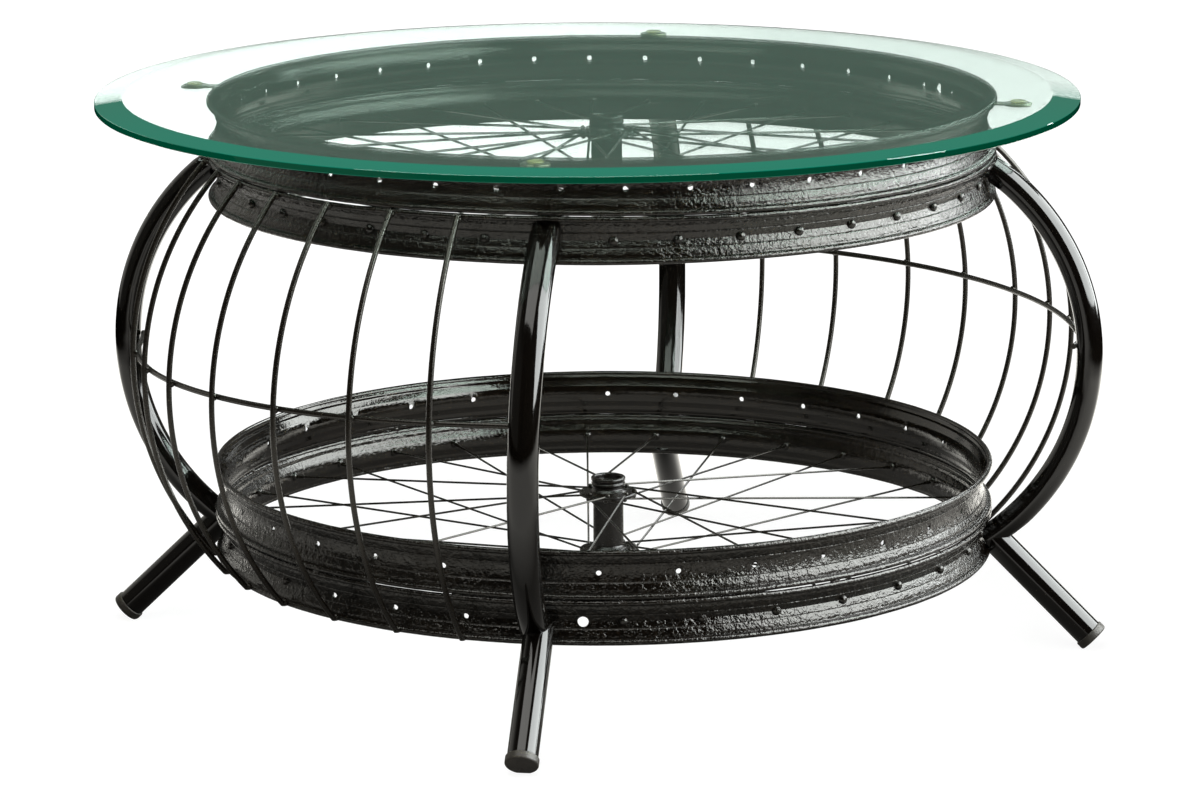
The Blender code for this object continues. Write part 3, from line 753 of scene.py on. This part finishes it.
def add_rims(lower_material, lower_empty_material, upper_material, upper_empty_material):
    lower = spoke_azimuths(LOWER_SPOKES, LOWER_SPOKED_PHASE)
    laced = [azimuth for number, azimuth in enumerate(lower) if number not in LOWER_BARE_HOLES]
    bare = [(lower[number], SPOKE_HOLE_RADIUS) for number in LOWER_BARE_HOLES]
    bare.append((LOWER_VALVE, VALVE_HOLE_RADIUS))
    add_rim("lower_spoked_rim", lower_material, bare, LOWER_TACKS, laced)
    empty = [(azimuth, SPOKE_HOLE_RADIUS) for azimuth in spoke_azimuths(LOWER_SPOKES, LOWER_EMPTY_PHASE)]
    add_rim("lower_empty_rim", lower_empty_material, empty)
    upper = spoke_azimuths(UPPER_SPOKES, UPPER_SPOKED_PHASE)
    add_rim("upper_spoked_rim", upper_material, [], UPPER_TACKS, upper)
    empty = []
    for azimuth in spoke_azimuths(UPPER_SPOKES, UPPER_EMPTY_PHASE):
        front = math.cos(math.radians(azimuth)) > 0
        empty.append((azimuth + (FRONT_HOLE_SHIFT if front else 0.0), SPOKE_HOLE_RADIUS))
    empty.append((UPPER_VALVE, VALVE_HOLE_RADIUS))
    add_rim("upper_empty_rim", upper_empty_material, empty)


# Wheels

def add_hub(wheel, centre, material):
    """Barrel, flanges and the ringed cups at both ends."""
    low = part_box(wheel + "_hub_bottom_cup")[LOW][2]
    half = centre - low
    flange = FLANGE_SPACING / 2
    edge = FLANGE_THICKNESS / 2
    upper = [(radius, half - depth) for radius, depth in CUP_STEPS]
    upper += [
        (HUB_BARREL_RADIUS, flange + edge + FLANGE_OUTER_FILLET),
        (FLANGE_ROOT_RADIUS, flange + edge + FLANGE_ROOT_HEIGHT),
        (FLANGE_FACE_RADIUS, flange + edge),
        (FLANGE_RADIUS, flange + edge / 2),
        (FLANGE_RADIUS, flange - edge / 2),
        (FLANGE_FACE_RADIUS, flange - edge),
        (FLANGE_ROOT_RADIUS, flange - edge - FLANGE_ROOT_HEIGHT),
        (HUB_BARREL_RADIUS, flange - edge - FLANGE_INNER_FILLET),
    ]
    lower = [(radius, -height) for radius, height in reversed(upper)]
    section = [(radius, centre + height) for radius, height in softened(upper + lower, HUB_CORNER)]
    work = bmesh.new()
    turn_section(work, section, HUB_STEPS)
    make_lumpy(work, HUB_LUMP, HUB_LUMP_SCALE)
    bmesh.ops.translate(work, verts=work.verts, vec=(*HUB_SHIFT, 0.0))
    nodes = [wheel + "_hub_barrel", wheel + "_hub_top_cup", wheel + "_hub_bottom_cup"]
    add_piece(wheel + "_hub_turned", work, material, nodes)


def add_spokes(wheel, centre, count, phase, turn, bare, radius, material):
    """Crossed wire spokes with bent heads at the flanges and nipples at the rim."""
    work = bmesh.new()
    reach = RIM_RADIUS - INNER_DEPTH + NIPPLE_SEAT
    aside = Vector((*HUB_SHIFT, 0.0))
    for number, azimuth in enumerate(spoke_azimuths(count, phase)):
        if number in bare:
            continue
        side = 1 if number % 2 == 0 else -1
        lead = 1 if number % 4 < 2 else -1
        level = centre + side * FLANGE_SPACING / 2
        step = lead * SPOKE_SIDE_STEP
        hub_azimuth = azimuth + turn + lead * SPOKE_LEAD
        elbow = at_azimuth(FLANGE_HOLE_RADIUS, hub_azimuth, level + step) + aside
        head = at_azimuth(FLANGE_HOLE_RADIUS, hub_azimuth, level - step * SPOKE_HEAD_STEP) + aside
        end = at_azimuth(reach, azimuth, centre)
        along = (elbow - end).normalized()
        add_rod(work, elbow - along * SPOKE_OVERLAP, end, radius, SPOKE_SIDES)
        add_rod(work, head, elbow, radius * SPOKE_HOOK_SWELL, SPOKE_SIDES)
        for spot, ball in ((head, SPOKE_HEAD_RADIUS), (elbow, radius * SPOKE_ELBOW_SWELL)):
            place = Matrix.Translation(spot)
            bmesh.ops.create_uvsphere(work, u_segments=8, v_segments=6, radius=ball, matrix=place)
        tip = end + along * NIPPLE_LENGTH
        add_rod(work, end, tip, NIPPLE_RADIUS, NIPPLE_SIDES, NIPPLE_RADIUS * NIPPLE_TAPER)
    nodes = [wheel + "_top_flange_spokes", wheel + "_bottom_flange_spokes"]
    add_piece(wheel + "_wire_spokes", work, material, nodes)


def add_wheels(hub_paint, wire_paint):
    lower = LOWER_BASE + WHEEL_HALF_HEIGHT
    upper = UPPER_SPOKED_TOP - WHEEL_HALF_HEIGHT
    add_hub("lower", lower, hub_paint)
    add_hub("upper", upper, hub_paint)
    lower_lacing = (LOWER_SPOKES, LOWER_SPOKED_PHASE, LOWER_HUB_TURN, LOWER_BARE_HOLES, LOWER_SPOKE_RADIUS)
    upper_lacing = (UPPER_SPOKES, UPPER_SPOKED_PHASE, UPPER_HUB_TURN, (), UPPER_SPOKE_RADIUS)
    add_spokes("lower", lower, *lower_lacing, wire_paint)
    add_spokes("upper", upper, *upper_lacing, wire_paint)


# Legs and feet

def lean_shift(lean, height):
    return (height - LEG_BULGE_HEIGHT) * math.tan(math.radians(lean))


def bent_tube(work, half_angle, across, through, sides, steps):
    """An oval tube along an upright arc that bulges to +X."""
    ring = bmesh.ops.create_circle(work, segments=sides, radius=1.0)["verts"]
    hollow = Vector((LEG_BULGE_RADIUS - LEG_ARC_RADIUS, 0.0, LEG_BULGE_HEIGHT))
    shape = Matrix.Translation((LEG_ARC_RADIUS, 0.0, 0.0)) @ Matrix.Diagonal((through, across, 1.0, 1.0))
    start = Matrix.Translation(hollow) @ Matrix.Rotation(half_angle, 4, "Y")
    bmesh.ops.transform(work, matrix=start @ shape, verts=ring)
    edges = list({edge for knot in ring for edge in knot.link_edges})
    bmesh.ops.spin(
        work, geom=ring + edges, cent=hollow, axis=(0, -1, 0), angle=2 * half_angle, steps=steps
    )
    bmesh.ops.recalc_face_normals(work, faces=work.faces)
    return hollow


def dent_end(work, hollow, half_angle, upward, dent):
    """Presses in the outer side of a tube's end, as a hammered end is."""
    depth, width, length = dent
    for knot in work.verts:
        arm = knot.co - hollow
        angle = math.atan2(arm.z, arm.x)
        from_end = (half_angle - angle * (1 if upward else -1)) * LEG_ARC_RADIUS
        out = math.hypot(arm.x, arm.z) - LEG_ARC_RADIUS
        if from_end > length or out < 0:
            continue
        press = depth * (1 - from_end / length) ** 1.5 * math.exp(-((knot.co.y / width) ** 2))
        spot = Vector((arm.x, 0.0, arm.z)).normalized()
        knot.co -= spot * press * min(1.0, out / (LEG_THROUGH * 0.5))


def add_leg(side, azimuth, lean, material):
    work = bmesh.new()
    half_angle = LEG_HALF_ANGLE + LEG_SINK
    hollow = bent_tube(work, half_angle, LEG_ACROSS, LEG_THROUGH, LEG_SIDES, LEG_STEPS)
    dent_end(work, hollow, half_angle, True, TOP_DENT)
    dent_end(work, hollow, half_angle, False, BOTTOM_DENT)
    for knot in work.verts:
        knot.co.y += lean_shift(lean, knot.co.z)
    cut_flat(work, UPPER_SPOKED_TOP - END_CUT, 1)
    make_lumpy(work, LEG_LUMP, LEG_LUMP_SCALE)
    bmesh.ops.transform(work, matrix=side_turn(azimuth), verts=work.verts)
    bmesh.ops.recalc_face_normals(work, faces=work.faces)
    add_piece(side + "_leg_tube", work, material, [side + "_leg"])


def foot_axis(lean):
    direction = Vector((math.cos(FOOT_SLOPE), 0.0, -math.sin(FOOT_SLOPE)))
    height = LEG_BULGE_HEIGHT - LEG_HALF_HEIGHT
    top = Vector((RIM_RADIUS + FOOT_TOP_STEP, lean_shift(lean, height), height))
    end_height = CAP_RADIUS * math.cos(FOOT_SLOPE) - CAP_FLAT
    return top, direction, (top.z - end_height) / math.sin(FOOT_SLOPE)


def add_foot(side, azimuth, lean, tube_paint, cap_plastic):
    top, direction, length = foot_axis(lean)
    aside, twist = FOOT_SET[side]
    swing = Matrix.Rotation(math.radians(twist), 4, "Z")
    about_top = Matrix.Translation(top + Vector((0.0, aside, 0.0))) @ swing @ Matrix.Translation(-top)
    turn = side_turn(azimuth) @ about_top
    work = bmesh.new()
    bmesh.ops.create_cone(
        work, cap_ends=True, segments=LEG_SIDES, radius1=FOOT_RADIUS, radius2=FOOT_RADIUS, depth=1.0
    )
    tube = length - CAP_HEAD * CAP_GRIP
    middle = Matrix.Translation(top + direction * tube / 2)
    place = middle @ aimed(direction) @ Matrix.Diagonal((1.0, 1.0, tube, 1.0))
    bmesh.ops.transform(work, matrix=turn @ place, verts=work.verts)
    bmesh.ops.recalc_face_normals(work, faces=work.faces)
    add_piece(side + "_foot_tube", work, tube_paint, [side + "_foot"])

    work = bmesh.new()
    edge = CAP_HEAD / 4
    mouth = FOOT_RADIUS - CAP_LIP
    section = [(0.0, 0.0), (CAP_RADIUS - edge, 0.0)]
    section += arc((CAP_RADIUS - edge, edge), edge, -90, 0, 5)
    section += arc((CAP_RADIUS - edge / 2, CAP_HEAD - edge / 2), edge / 2, 0, 90, 4)
    section += [(mouth, CAP_HEAD), (mouth, CAP_HEAD - CAP_RECESS), (0.0, CAP_HEAD - CAP_RECESS)]
    turn_section(work, section, LEG_SIDES, closed=False)
    end = turn @ Matrix.Translation(top + direction * length)
    bmesh.ops.transform(work, matrix=end @ aimed(-direction), verts=work.verts)
    cut_flat(work, 0, -1)
    bmesh.ops.recalc_face_normals(work, faces=work.faces)
    add_piece(side + "_foot_cap_moulded", work, cap_plastic, [side + "_foot_cap"])


# Ribs and ties

def rib_arc(bay):
    """Bulge radius, middle height, arc radius and half angle of a bay's ribs."""
    half_height = (UPPER_SPOKED_TOP - LOWER_BASE) / 2
    middle = (UPPER_SPOKED_TOP + LOWER_BASE) / 2
    bulge = LEG_BULGE - RIB_INSETS[bay]
    radius = (half_height**2 + bulge**2) / (2 * bulge)
    return RIM_RADIUS + bulge, middle, radius, math.asin(half_height / radius)


def arc_radius_at(bulge_radius, middle, radius, height):
    """How far an upright arc stands from the wheel axis at a height."""
    return bulge_radius - radius + math.sqrt(radius**2 - (height - middle) ** 2)


def tie_points(bay):
    (first, start_height), (last, end_height) = TIE_ENDS[bay]
    start = SIDES[first][0]
    span = (SIDES[last][0] - start) % 360
    bulge_radius, middle, radius, _ = rib_arc(bay)
    points = []
    for step in range(TIE_POINTS + 1):
        share = step / TIE_POINTS
        height = start_height + (end_height - start_height) * share
        inside_ribs = arc_radius_at(bulge_radius, middle, radius, height) - 2 * ROD_RADIUS
        leg = arc_radius_at(LEG_BULGE_RADIUS, LEG_BULGE_HEIGHT, LEG_ARC_RADIUS, height)
        inside_leg = leg - LEG_THROUGH - ROD_RADIUS
        flare = max(0.0, 1 - span * min(share, 1 - share) / TIE_FLARE)
        distance = inside_ribs + (inside_leg - inside_ribs) * flare**2
        points.append((start + span * share, distance, height))
    return points


def add_ribs(bay, material):
    bulge_radius, middle, radius, half_angle = rib_arc(bay)
    hollow = Vector((bulge_radius - radius, 0.0, middle))
    work = bmesh.new()
    for azimuth in RIB_AZIMUTHS[bay]:
        ring = bmesh.ops.create_circle(work, segments=ROD_SIDES, radius=ROD_RADIUS, cap_ends=True)["verts"]
        start = Matrix.Translation(hollow) @ Matrix.Rotation(half_angle, 4, "Y")
        turn = side_turn(azimuth)
        place = turn @ start @ Matrix.Translation((radius, 0.0, 0.0))
        bmesh.ops.transform(work, matrix=place, verts=ring)
        faces = list({face for knot in ring for face in knot.link_faces})
        bmesh.ops.spin(
            work,
            geom=faces,
            cent=turn @ hollow,
            axis=turn.to_3x3() @ Vector((0, -1, 0)),
            angle=2 * half_angle,
            steps=RIB_STEPS,
        )
    cut_flat(work, LOWER_BASE + END_CUT, -1)
    bmesh.ops.recalc_face_normals(work, faces=work.faces)
    for number, azimuth in enumerate(RIB_AZIMUTHS[bay]):
        turn = side_turn(azimuth)
        for height in (UPPER_SPOKED_TOP - RIB_WELD_DROP, LOWER_BASE + RIB_WELD_RISE):
            place = turn @ Matrix.Translation((RIM_RADIUS + RIB_WELD_OUT, 0.0, height))
            add_blob(work, place, RIB_WELD_SIZE, number + height)
    nodes = [f"{bay}_rib_{number}" for number in range(1, len(RIB_AZIMUTHS[bay]) + 1)]
    add_piece(bay + "_ribs_rod", work, material, nodes)


def add_tie(bay, material):
    curve = bpy.data.curves.new(bay + "_tie_line", "CURVE")
    curve.dimensions = "3D"
    curve.bevel_depth = ROD_RADIUS
    curve.bevel_resolution = 6
    curve.use_fill_caps = True
    points = tie_points(bay)
    line = curve.splines.new("POLY")
    line.points.add(len(points) - 1)
    for knot, (azimuth, distance, height) in zip(line.points, points):
        knot.co = (*at_azimuth(distance, azimuth, height), 1.0)
    wire = bpy.data.objects.new(bay + "_tie_line", curve)
    work = bmesh.new()
    work.from_mesh(bpy.data.meshes.new_from_object(wire))
    bpy.data.objects.remove(wire)
    bmesh.ops.remove_doubles(work, verts=work.verts, dist=TINY)
    bmesh.ops.recalc_face_normals(work, faces=work.faces)
    for number, azimuth in enumerate(RIB_AZIMUTHS[bay]):
        _, distance, height = min(points, key=lambda point: abs((point[0] - azimuth + 180) % 360 - 180))
        place = side_turn(azimuth) @ Matrix.Translation((distance + ROD_RADIUS, 0.0, height))
        add_blob(work, place, TIE_WELD_SIZE, number + TIE_WELD_SEED)
    add_piece(bay + "_tie_rod", work, material, [bay + "_tie"])


# Glass and its supports

def tab_outline():
    """A round plate with a neck at the rim and a notch at the outer end."""
    neck = math.degrees(math.asin(TAB_NECK_WIDTH / 2 / TAB_RADIUS))
    notch = math.degrees(math.asin(TAB_NOTCH_WIDTH / 2 / TAB_RADIUS))
    half = TAB_NECK_WIDTH / 2
    inner = RIM_RADIUS - TAB_OVERLAP
    centre = (RIM_RADIUS + TAB_REACH, 0.0)
    floor_of_notch = (centre[0] + TAB_RADIUS - TAB_NOTCH_DEPTH, 0.0)
    outline = [(inner, half)] + arc(centre, TAB_RADIUS, 180 - neck, notch, TAB_POINTS // 2)
    outline += [floor_of_notch] + arc(centre, TAB_RADIUS, -notch, neck - 180, TAB_POINTS // 2)
    return outline + [(inner, -half)]


def add_support(side, azimuth, steel, rubber):
    low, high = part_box(side + "_support_tab")
    turn = side_turn(azimuth)
    work = bmesh.new()
    plate = work.faces.new([work.verts.new((x, y, low[2])) for x, y in tab_outline()])
    raised = bmesh.ops.extrude_face_region(work, geom=[plate])["geom"]
    knots = [item for item in raised if isinstance(item, bmesh.types.BMVert)]
    bmesh.ops.translate(work, verts=knots, vec=(0, 0, high[2] - low[2]))
    bmesh.ops.recalc_face_normals(work, faces=work.faces)
    edges = [edge for edge in work.edges if abs(edge.verts[0].co.z - edge.verts[1].co.z) < TINY]
    bmesh.ops.bevel(
        work, geom=edges, offset=TAB_EDGE, segments=2, profile=0.5, affect="EDGES", material=-1
    )
    bmesh.ops.transform(work, matrix=turn, verts=work.verts)
    add_piece(side + "_tab_plate", work, steel, [side + "_support_tab"])

    low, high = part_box(side + "_glass_pad")
    tall = high[2] - low[2]
    radius = (high[0] - low[0]) / 2
    work = bmesh.new()
    section = [(0.0, 0.0), (radius * PAD_FOOT, 0.0)]
    section += arc((radius - tall / 2, tall / 2), tall / 2, -60, 90, 10) + [(0.0, tall)]
    turn_section(work, section, PAD_STEPS, closed=False)
    centre = at_azimuth(RIM_RADIUS + TAB_REACH, azimuth, low[2])
    bmesh.ops.translate(work, verts=work.verts, vec=centre)
    add_piece(side + "_pad_bumper", work, rubber, [side + "_glass_pad"])


def add_glass(material):
    low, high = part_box("glass_top")
    centre = (Vector(low) + Vector(high)) / 2
    radius = (high[0] - low[0]) / 2
    bottom, top = low[2], high[2]
    rim = top - GLASS_BEVEL_DROP
    work = bmesh.new()
    section = [
        (0.0, top),
        (radius - GLASS_BEVEL_WIDTH, top),
        (radius - GLASS_ARRIS, rim),
        (radius, rim - GLASS_ARRIS),
        (radius, bottom + GLASS_ARRIS),
        (radius - GLASS_ARRIS, bottom),
        (0.0, bottom),
    ]
    turn_section(work, section, GLASS_STEPS, closed=False)
    bmesh.ops.translate(work, verts=work.verts, vec=(centre.x, centre.y, 0.0))
    add_piece("glass_top_pane", work, material, ["glass_top"], "glass", GLASS_SHARP_ANGLE)


# Stage

def add_floor():
    """A pale floor that keeps shadows, whiter further off; to reflections it shows a painted shade under
    the table and painted light around it.
    """
    work = bmesh.new()
    bmesh.ops.create_circle(work, cap_ends=True, segments=96, radius=FLOOR_RADIUS)
    bmesh.ops.translate(work, verts=work.verts, vec=(*FLOOR_CENTRE, FLOOR_LEVEL))
    floor = new_object("floor", finish_mesh("floor", work))
    material = bpy.data.materials.new("pale_floor")
    material.use_nodes = True
    tree = material.node_tree
    tree.nodes.clear()
    out = tree.nodes.new("ShaderNodeOutputMaterial")
    matt = node(tree, "ShaderNodeBsdfDiffuse", Color=FLOOR_PAINT)
    path = tree.nodes.new("ShaderNodeLightPath")
    # What the eye sees, straight and through the glass
    seen = math_node(tree, "MAXIMUM", path.outputs["Is Camera Ray"], path.outputs["Is Transmission Ray"])
    place = own_place(tree)
    spread = node(tree, "ShaderNodeSeparateXYZ", Vector=place)
    # Through the glass the floor glows brighter where it is seen aslant, and most on the left: a painted
    # light
    through = ramp(tree, spread.outputs["X"], -0.50, -0.20, 1.75, 0.93)
    slant = node(tree, "ShaderNodeLayerWeight", Blend=0.5)
    through = math_node(tree, "MULTIPLY", through, ramp(tree, slant.outputs["Facing"], 0.40, 0.66))
    through = math_node(tree, "MULTIPLY", path.outputs["Is Transmission Ray"], through)
    glow = math_node(tree, "ADD", through, FLOOR_GLOW)
    white = node(tree, "ShaderNodeEmission", Color=WHITE, Strength=glow)
    distance = node(tree, "ShaderNodeVectorMath", operation="LENGTH")
    link(tree, place, distance.inputs[0])
    bright = ramp(tree, distance.outputs["Value"], 0.55, 1.20, FLOOR_WHITE, 1.0)
    shown = mix_shaders(tree, math_node(tree, "MULTIPLY", seen, bright), matt.outputs[0], white.outputs[0])
    # What the paint mirrors is painted: a painted shade under the table and on its left, painted light to
    # the right and behind
    shade = node(tree, "ShaderNodeVectorMath", operation="DISTANCE")
    link(tree, place, shade.inputs[0])
    shade.inputs[1].default_value = SHADE_CENTRE
    painted_light_and_shade = ramp(tree, shade.outputs["Value"], 0.12, 0.42, 0.45, 1.0)
    under = ramp(tree, distance.outputs["Value"], 0.40, 0.58, 0.16, 0.95)
    middle = ramp(tree, distance.outputs["Value"], 0.16, 0.30, 0.45, 0.0)
    painted_light_and_shade = math_node(tree, "MULTIPLY", painted_light_and_shade, math_node(tree, "ADD", under, middle))
    painted_light_and_shade = math_node(tree, "ADD", painted_light_and_shade, ramp(tree, spread.outputs["X"], 0.40, 0.95, 0.0, 0.7))
    painted_light_and_shade = math_node(tree, "ADD", painted_light_and_shade, ramp(tree, spread.outputs["Y"], 0.34, 0.44, 0.0, 1.25))
    ends = ramp(tree, distance.outputs["Value"], 1.10, 1.40, 1.0, 0.0)
    painted_light_and_shade = math_node(tree, "MULTIPLY", painted_light_and_shade, ends)
    mirrored = node(tree, "ShaderNodeEmission", Color=FLOOR_PAINTED_REFLECTION, Strength=painted_light_and_shade)
    both = mix_shaders(tree, path.outputs["Is Reflection Ray"], shown, mirrored.outputs[0])
    link(tree, both, out.inputs["Surface"])
    floor.data.materials.append(material)


def add_lamp(name, place, target, width, height, radiance, colour, seen_in="both"):
    """A soft box of a given brightness: it is mirrored in the gloss, or lights the colours, or both."""
    light = bpy.data.lights.new(name, "AREA")
    light.shape = "RECTANGLE"
    light.size = width
    light.size_y = height
    light.energy = radiance * math.pi * width * height
    light.color = colour
    lamp = new_object(name, light)
    lamp.location = place
    lamp.rotation_euler = (Vector(place) - Vector(target)).to_track_quat("Z", "Y").to_euler()
    lamp.visible_diffuse = seen_in != "gloss"
    lamp.visible_glossy = seen_in != "colour"
    lamp.visible_transmission = seen_in != "colour"


def set_world():
    """White to the eye and through the glass; a dim room to reflections, paler on the left."""
    world = bpy.data.worlds.new("white_studio")
    world.use_nodes = True
    bpy.context.scene.world = world
    tree = world.node_tree
    tree.nodes.clear()
    out = tree.nodes.new("ShaderNodeOutputWorld")
    path = tree.nodes.new("ShaderNodeLightPath")
    facing = tree.nodes.new("ShaderNodeTexCoord").outputs["Generated"]
    split = node(tree, "ShaderNodeSeparateXYZ", Vector=facing)
    back = ramp(tree, split.outputs["Y"], 0.05, 0.60, 0.02, 0.11)
    left = ramp(tree, split.outputs["X"], -0.48, -0.60)
    behind = ramp(tree, split.outputs["Y"], 0.02, 0.14, 0.08, 0.50)
    below = ramp(tree, split.outputs["Z"], 0.40, 0.55, 1.0, 0.25)
    left = math_node(tree, "MULTIPLY", left, math_node(tree, "MULTIPLY", behind, below))
    room = math_node(tree, "ADD", back, left)
    dim = node(tree, "ShaderNodeBackground", Color=ROOM_WHITE, Strength=room)
    glow = ramp(tree, path.outputs["Is Camera Ray"], 0.0, 1.0, 2.05, 1.0)
    white = node(tree, "ShaderNodeBackground", Color=WHITE, Strength=glow)
    downward = math_node(tree, "LESS_THAN", split.outputs["Z"], 0.02)
    through = math_node(tree, "MULTIPLY", path.outputs["Is Transmission Ray"], downward)
    seen = math_node(tree, "MAXIMUM", path.outputs["Is Camera Ray"], through)
    link(tree, mix_shaders(tree, seen, dim.outputs[0], white.outputs[0]), out.inputs["Surface"])


def add_camera():
    data = bpy.data.cameras.new("camera")
    data.sensor_width = SENSOR_WIDTH
    data.lens = CAMERA_LENS
    data.shift_x = -AXIS_OFFSET_PIXELS / IMAGE_WIDTH
    camera = new_object("camera", data)
    across = CAMERA_DISTANCE * math.sin(CAMERA_AZIMUTH)
    along = -CAMERA_DISTANCE * math.cos(CAMERA_AZIMUTH)
    place = Matrix.Translation((across, along, CAMERA_HEIGHT))
    turn = Matrix.Rotation(CAMERA_AZIMUTH, 4, "Z") @ Matrix.Rotation(math.pi / 2 - CAMERA_PITCH, 4, "X")
    camera.matrix_world = place @ turn @ Matrix.Rotation(CAMERA_ROLL, 4, "Z")
    bpy.context.scene.camera = camera


# The table

enamel_skin = enamel_group()
lower_paint = rim_enamel("lower_rim_enamel", enamel_skin, 1.0, 0.5)
lower_empty_paint = rim_enamel("lower_empty_rim_enamel", enamel_skin, 1.0, 0.85)
upper_paint = rim_enamel("upper_rim_enamel", enamel_skin, 1.3, 0.5)
upper_empty_paint = rim_enamel("upper_empty_rim_enamel", enamel_skin, 1.3, 0.85)
tube_paint = enamel(
    "tube_enamel",
    enamel_skin,
    TUBE_BLACK,
    TUBE_BROWN,
    (0.05, 0.11),
    0.00008,
    {"Lump Size": 45.0, "Pit Size": 300.0, "Pit Depth": 0.02, "Lump Depth": 0.5},
)
rod_paint = enamel(
    "rod_enamel",
    enamel_skin,
    ROD_BLACK,
    ROD_BROWN,
    (0.25, 0.31),
    0.00002,
    {"Lump Size": 60.0, "Pit Size": 300.0, "Pit Depth": 0.03, "Lump Depth": 0.6},
    (1.0, 0.97, 0.90),
)
hub_paint = enamel(
    "hub_enamel",
    enamel_skin,
    HUB_BLACK,
    HUB_BROWN,
    (0.15, 0.28),
    0.00012,
    {"Lump Size": 260.0, "Pit Size": 400.0, "Pit Depth": 0.6, "Lump Depth": 1.0},
)
add_rims(lower_paint, lower_empty_paint, upper_paint, upper_empty_paint)
add_wheels(hub_paint, rod_paint)
cap_plastic = cap_material()
tab_steel = tab_steel_material()
pad_plastic = pad_material()
for side_name, (leg_azimuth, leg_lean, tab_azimuth) in SIDES.items():
    add_leg(side_name, leg_azimuth, leg_lean, tube_paint)
    add_foot(side_name, leg_azimuth, leg_lean, tube_paint, cap_plastic)
    add_support(side_name, tab_azimuth, tab_steel, pad_plastic)
for bay_name in RIB_AZIMUTHS:
    add_ribs(bay_name, rod_paint)
    add_tie(bay_name, rod_paint)
add_glass(glass_material())

add_floor()
set_world()
add_lamp("right_soft_box", **RIGHT_BOX, radiance=12.0, colour=COOL_WHITE, seen_in="gloss")
add_lamp("right_fill", **RIGHT_BOX, radiance=4.6, colour=(0.98, 1.0, 0.99), seen_in="colour")
add_lamp("back_soft_box", (1.0, 2.35, 1.93), (0.0, 0.0, 0.4), 1.3, 1.2, 9.0, COOL_WHITE, "gloss")
add_lamp("low_soft_box", (2.0, 1.33, 0.85), (0.0, 1.33, 0.6), 0.88, 1.3, 11.0, COOL_WHITE, "gloss")
add_lamp("overhead_soft_box", (-0.3, -1.0, 2.3), (0.0, 0.0, 0.3), 2.2, 1.8, 3.0, (1.0, 0.99, 0.95))
add_camera()
bpy.context.scene.view_settings.view_transform = "Standard"
